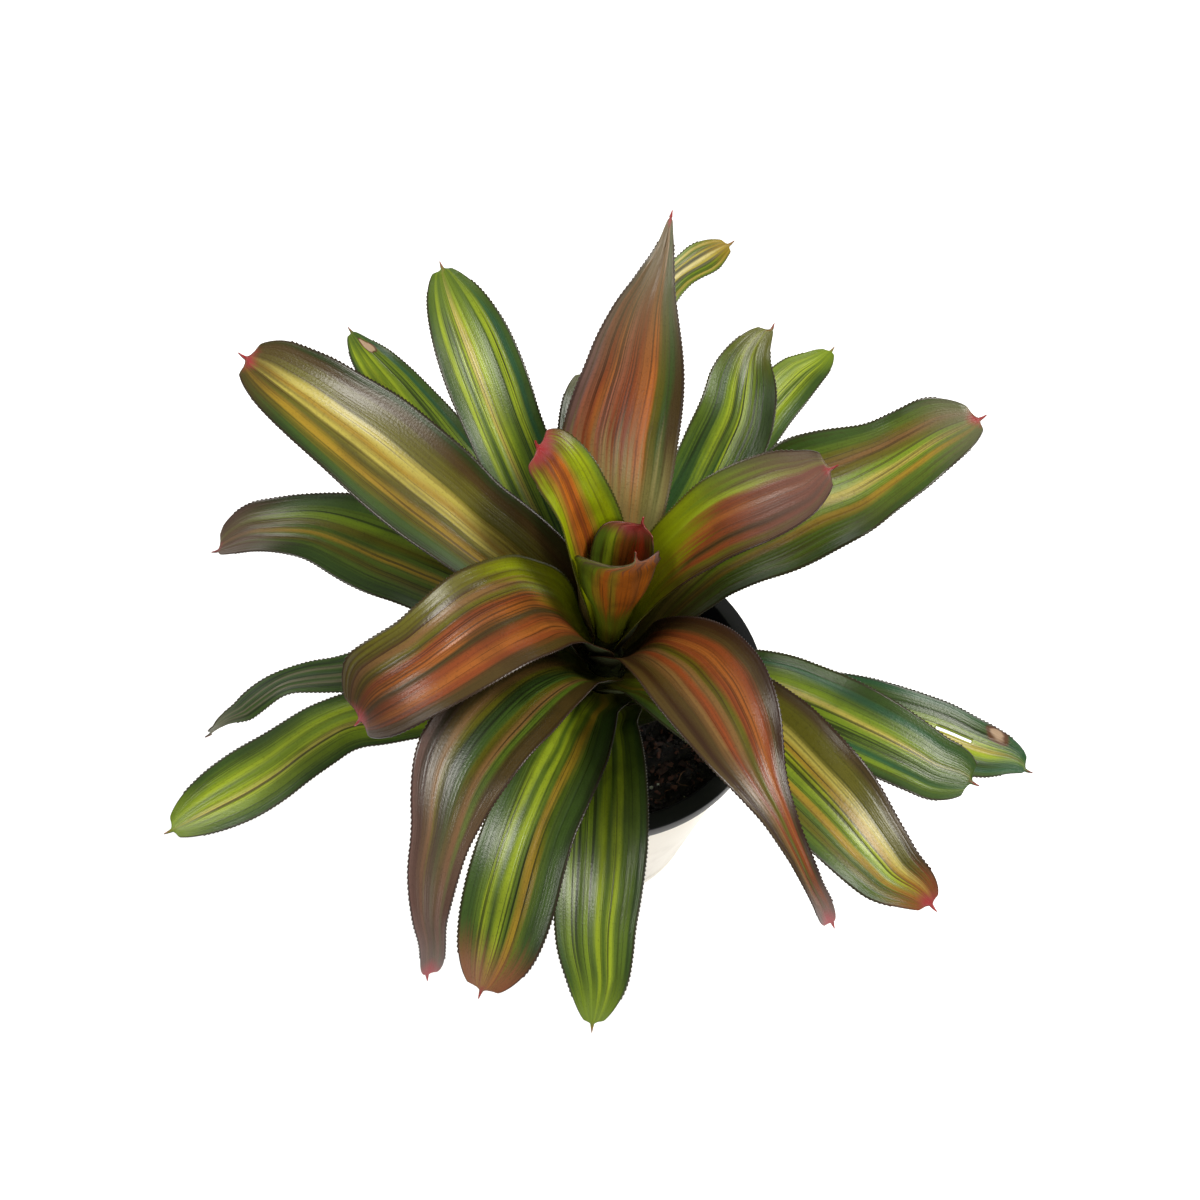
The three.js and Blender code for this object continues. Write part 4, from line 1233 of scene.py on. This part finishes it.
def make_cover_pot():
    groove_low, groove_high = FOOT_BAND_TOP, FOOT_BAND_TOP + FOOT_GROOVE
    profile = [
        (COVER_FOOT_RADIUS * 0.5, 0),
        (COVER_FOOT_RADIUS, 0),
        (cover_radius(groove_low), groove_low),
        (cover_radius(groove_low) - FOOT_GROOVE, groove_low + FOOT_GROOVE / 3),
        (cover_radius(groove_low) - FOOT_GROOVE, groove_high),
        (cover_radius(groove_high), groove_high + FOOT_GROOVE / 3),
        (cover_radius(cover_rim_top / 2), cover_rim_top / 2),
        (cover_rim_radius, cover_rim_top),
        (cover_rim_radius - COVER_WALL, cover_rim_top),
        (COVER_FOOT_RADIUS - COVER_WALL, COVER_FLOOR),
        (COVER_FOOT_RADIUS * 0.5, COVER_FLOOR),
    ]
    piece = turned("cover_cup", profile, POT_SIDES, round_edges=COVER_EDGE_ROUNDING)
    piece.data.materials.append(cover_white)
    return settle(piece, "cover_pot", "cover_pot")


def make_nursery_pot():
    inner = nursery_rim_radius - NURSERY_WALL
    profile = [
        (NURSERY_FOOT_RADIUS * 0.5, NURSERY_FLOOR_BOTTOM),
        (NURSERY_FOOT_RADIUS, NURSERY_FLOOR_BOTTOM),
        (nursery_rim_radius, lip_underside),
        (lip_inner_radius, lip_underside),
        (lip_inner_radius, LIP_TOP - LIP_SKIRT),
        (LIP_RADIUS, LIP_TOP - LIP_SKIRT),
        (LIP_RADIUS, LIP_TOP),
        (inner, LIP_TOP),
        (NURSERY_FOOT_RADIUS - NURSERY_WALL, nursery_floor_top),
        (NURSERY_FOOT_RADIUS * 0.5, nursery_floor_top),
    ]
    piece = turned("nursery_cup", profile, POT_SIDES, round_edges=NURSERY_EDGE_ROUNDING)
    piece.data.materials.append(nursery_black)
    return settle(piece, "nursery_pot", "nursery_pot")


pots = [make_cover_pot(), make_nursery_pot()]
print("pots:", [p.name for p in pots])

# %% [markdown]
# ## The potting mix
# Peat and bark make a dark, broken surface with bits of perlite in it. The bed is a turned body whose
# top is raised in lumps. The loose bits on it are modelled once each, a crumb, a chip, a grain and a
# fibre, and repeated with random places, turns and sizes. The random numbers have a fixed seed, so
# the same heap comes out each time.

# %% Bed of mix
MIX_TO_POT = 0.0005
BED_RINGS = 34
BED_LUMP = 0.0011
BED_FINE_LUMP = 0.0007
LUMP_WAVES = (900, 830)
FINER_LUMP_WAVES = (1700, 500, 1500)
MIX_WAVES = dict(across=310, away=270, slant_across=230, slant_away=-370)
MIX_LUMP = 0.0015
MIX_LEVEL_BORDER = 0.006
STEM_BURIED = 0.026
BED_SEED = 5
BED_FLOOR_MIDDLE = 0.01


def nursery_inside(z):
    share = (z - nursery_floor_top) / (LIP_TOP - nursery_floor_top)
    return mix(NURSERY_FOOT_RADIUS - NURSERY_WALL, nursery_rim_radius - NURSERY_WALL, share)


mix_wall = nursery_inside(MIX_LEVEL) - MIX_TO_POT
stem_hole = STEM_RADIUS_LOW + SEAT_GAP


def bed_height(x, y):
    """Height of the mix's surface: the CAD solid's broad lumps, flat at the wall and the stem."""
    out = np.hypot(x, y)
    fade = smooth(mix_wall, mix_wall - MIX_LEVEL_BORDER, out)
    fade = fade * smooth(stem_hole, stem_hole + MIX_LEVEL_BORDER, out)
    lumps = np.sin(MIX_WAVES["across"] * x) * np.cos(MIX_WAVES["away"] * y)
    lumps = lumps + np.sin(MIX_WAVES["slant_across"] * x + MIX_WAVES["slant_away"] * y)
    return MIX_LEVEL + fade * MIX_LUMP * lumps


def make_bed():
    floor = nursery_floor_top + SEAT_GAP
    hole_floor = MIX_LEVEL - STEM_BURIED - SEAT_GAP
    rings = [(mix(mix_wall, stem_hole, k / BED_RINGS), MIX_LEVEL) for k in range(BED_RINGS + 1)]
    profile = [(BED_FLOOR_MIDDLE, floor), (nursery_inside(floor) - MIX_TO_POT, floor), *rings,
               (stem_hole, hole_floor), (stem_hole / 2, hole_floor)]
    piece = turned("mix_bed", profile, POT_SIDES)
    draw = random.Random(BED_SEED)
    shifts = [draw.uniform(0, 9) for _ in range(8)]
    across, away = LUMP_WAVES
    fine_x, fine_slant, fine_y = FINER_LUMP_WAVES
    for vertex in piece.data.vertices:
        x, y, z = vertex.co
        if abs(z - MIX_LEVEL) < SEAT_GAP:
            rough = math.sin(across * x + shifts[0]) * math.sin(away * y + shifts[1])
            rough += math.sin(fine_x * x + fine_slant * y + shifts[2]) * math.cos(fine_y * y + shifts[3])
            lumpy = float(bed_height(x, y)) + 0.5 * BED_LUMP * rough
            vertex.co.z = lumpy + draw.uniform(-1, 1) * BED_FINE_LUMP
    return piece


print(f"mix: {mix_wall * 2000:.1f} mm across, with a hole of {stem_hole * 2000:.1f} mm for the stem")

# %% Materials of the mix
EARTH_BUMP_STRENGTH = 0.8
EARTH_FADE = (0.38, 0.66)
EARTH_PATCH = dict(detail=3.0, roughness=0.65)
EARTH_SKIN = dict(detail=4.0, roughness=0.6)
EARTH_SKIN_FINER = 4
EARTH_DULL_SPREAD = 0.25


def earth(name, dark, light, size, roughness, depth):
    """Broken, matt stuff: two tones in patches the size of a crumb, and a rough skin."""
    material, b, shader = new_material(name)
    spot = b.node("TexCoord").outputs["Object"]
    patch = b.noise(spot, size, **EARTH_PATCH)
    skin = b.noise(spot, size * EARTH_SKIN_FINER, **EARTH_SKIN)
    b.feed(shader["Base Color"], b.blend(b.fade(patch, *EARTH_FADE), colour(dark), colour(light)))
    b.feed(shader["Roughness"], b.math("ADD", b.times(skin, EARTH_DULL_SPREAD), roughness))
    roughen(b, shader, skin, Distance=depth, Strength=EARTH_BUMP_STRENGTH)
    return material


EARTHS = {
    "peat": dict(dark="070504", light="1e1510", size=420.0, roughness=0.7, depth=0.0006),
    "bark": dict(dark="2a160f", light="5a3526", size=260.0, roughness=0.65, depth=0.0005),
    "perlite": dict(dark="8f9488", light="d8dcd0", size=500.0, roughness=0.6, depth=0.0004),
    "fibre": dict(dark="3a2418", light="6a4a36", size=300.0, roughness=0.7, depth=0.0002),
}
bit_materials = {name: earth(name, **facts) for name, facts in EARTHS.items()}
print("mix materials:", *bit_materials)

# %% [markdown]
# Each kind of bit starts as a primitive that is put out of shape: the crumb and the grain are
# icospheres with their corners pushed about, the chip is a bevelled, tapered slab, and the fibre is a
# three-sided rod with a bend. One mesh then holds all copies of a kind.


# %% Shapes of the loose bits
CRUMB_SEED = 11
CRUMB_PUSH = (0.72, 1.15)
CHIP_SIZE = (1.0, 0.5, 0.22)
CHIP_TAPER = 0.6
CHIP_SLOPE = 0.12
CHIP_WEAR = 0.07
FIBRE_RADIUS = 0.035
FIBRE_CUTS = (-0.25, 0, 0.25)
FIBRE_BOW = 0.22
FIBRE_TWIST = 0.1


def crumb_shape():
    deselect()
    bpy.ops.mesh.primitive_ico_sphere_add(subdivisions=1, radius=0.5)
    piece = bpy.context.object
    push = random.Random(CRUMB_SEED)
    for vertex in piece.data.vertices:
        vertex.co *= push.uniform(*CRUMB_PUSH)
    return piece


def chip_shape():
    deselect()
    bpy.ops.mesh.primitive_cube_add(size=1)
    piece = bpy.context.object
    piece.scale = CHIP_SIZE
    bpy.ops.object.transform_apply(location=False, rotation=False, scale=True)
    for vertex in piece.data.vertices:
        vertex.co.y *= CHIP_TAPER if vertex.co.x > 0 else 1
        vertex.co.z += CHIP_SLOPE * vertex.co.x
    bevel = piece.modifiers.new("worn", "BEVEL")
    bevel.width = CHIP_WEAR
    bevel.segments = 1
    bpy.ops.object.modifier_apply(modifier="worn")
    return piece


def fibre_shape():
    deselect()
    bpy.ops.mesh.primitive_cylinder_add(vertices=3, radius=FIBRE_RADIUS, depth=1)
    piece = bpy.context.object
    bpy.ops.object.mode_set(mode="EDIT")
    bpy.ops.mesh.select_all(action="SELECT")
    for height in FIBRE_CUTS:
        bpy.ops.mesh.bisect(plane_co=(0, 0, height), plane_no=(0, 0, 1))
        bpy.ops.mesh.select_all(action="SELECT")
    bpy.ops.object.mode_set(mode="OBJECT")
    for vertex in piece.data.vertices:
        vertex.co.x += FIBRE_BOW * math.cos(math.pi * vertex.co.z)
        vertex.co.y += FIBRE_TWIST * math.sin(2 * math.pi * vertex.co.z)
    piece.data.transform(Matrix.Rotation(math.pi / 2, 4, "Y"))
    return piece


# %% Loose bits
BIT_KINDS = [
    dict(name="mix_crumbs", kind="peat", shape=crumb_shape, count=2600, sizes=(0.0009, 0.0034), seed=21),
    dict(name="mix_chips", kind="bark", shape=chip_shape, count=420, sizes=(0.0022, 0.0062), seed=22),
    dict(name="mix_grains", kind="perlite", shape=crumb_shape, count=130, sizes=(0.0007, 0.0021), seed=23),
    dict(name="mix_fibres", kind="fibre", shape=fibre_shape, count=260, sizes=(0.004, 0.009), seed=24),
]
SMALLEST_SHARE = 0.6
BIT_TO_WALL = 0.0006
BIT_TILT = 0.35
BIT_RAISED_SHARE = 0.22
BIT_RAISED_AT_MOST = 0.0006


def scatter(name, kind, shape, count, sizes, seed):
    """One piece that holds all bits of a kind, lying on the bed."""
    model = shape()
    corners = np.array([v.co for v in model.data.vertices])
    faces = [list(p.vertices) for p in model.data.polygons]
    bpy.data.objects.remove(model)
    draw = random.Random(seed)
    points, sides = [], []
    for _ in range(count):
        size = draw.uniform(*sizes) * draw.uniform(SMALLEST_SHARE, 1)
        room = mix_wall - size / 2 - BIT_TO_WALL
        out = math.sqrt(draw.uniform(stem_hole ** 2, room ** 2))
        bearing = draw.uniform(0, 2 * math.pi)
        x, y = out * math.cos(bearing), out * math.sin(bearing)
        tilt = Matrix.Rotation(draw.uniform(0, 2 * math.pi), 3, "Z")
        tilt = tilt @ Matrix.Rotation(draw.gauss(0, BIT_TILT), 3, "X")
        tilt = tilt @ Matrix.Rotation(draw.gauss(0, BIT_TILT), 3, "Y")
        place = corners @ np.array(tilt).T * size
        raised = BIT_RAISED_SHARE * size + draw.uniform(0, BIT_RAISED_AT_MOST)
        place += (x, y, float(bed_height(x, y)) + raised)
        first = len(points) * len(corners)
        points.append(place)
        sides.extend([[first + k for k in face] for face in faces])
    mesh = bpy.data.meshes.new(name)
    mesh.from_pydata(np.concatenate(points).tolist(), [], sides)
    mesh.materials.append(bit_materials[kind])
    piece = bpy.data.objects.new(name, mesh)
    bpy.context.scene.collection.objects.link(piece)
    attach(piece, BODY)
    return piece


bed = make_bed()
bed.data.materials.append(bit_materials["peat"])
settle(bed, "potting_mix", "potting_mix")
bits = [scatter(**facts) for facts in BIT_KINDS]
print("faces of the loose bits:", {p.name: len(p.data.polygons) for p in bits})

# %% [markdown]
# ## The stem
# Little of the stem shows between the leaf bases. It is a tapered stock with the rings of shed
# leaves on it, turned like the pots, with a fibrous green and brown skin.

# %% Stem
STEM_SIDES = 48
STEM_RINGS = 9
STEM_RING_DEPTH = 0.0003
STEM_FOOT_TAPER = 0.002
STEM_FOOT_TAPER_HEIGHT = 0.006
STEM_CROWN_SHOULDER = 0.002
STEM_CROWN_PEAK = 0.0026


def make_stem():
    foot = MIX_LEVEL - STEM_BURIED
    profile = [(STEM_RADIUS_LOW - STEM_FOOT_TAPER, foot)]
    for k in range(STEM_RINGS + 1):
        z = mix(foot + STEM_FOOT_TAPER_HEIGHT, STEM_TOP, k / STEM_RINGS)
        profile.append((float(stem_radius(z)) - (k % 2) * STEM_RING_DEPTH, z))
    profile.append((STEM_RADIUS_HIGH / 2, STEM_TOP + STEM_CROWN_SHOULDER))
    profile.append((STEM_RADIUS_HIGH / 6, STEM_TOP + STEM_CROWN_PEAK))
    piece = turned("stem_stock", profile, STEM_SIDES)
    skin = earth("stem_skin", dark="1c2210", light="4a5424", size=240.0, roughness=0.55, depth=0.0004)
    piece.data.materials.append(skin)
    return settle(piece, "stem", "stem")


stem = make_stem()
print("stem:", len(stem.data.polygons), "faces")
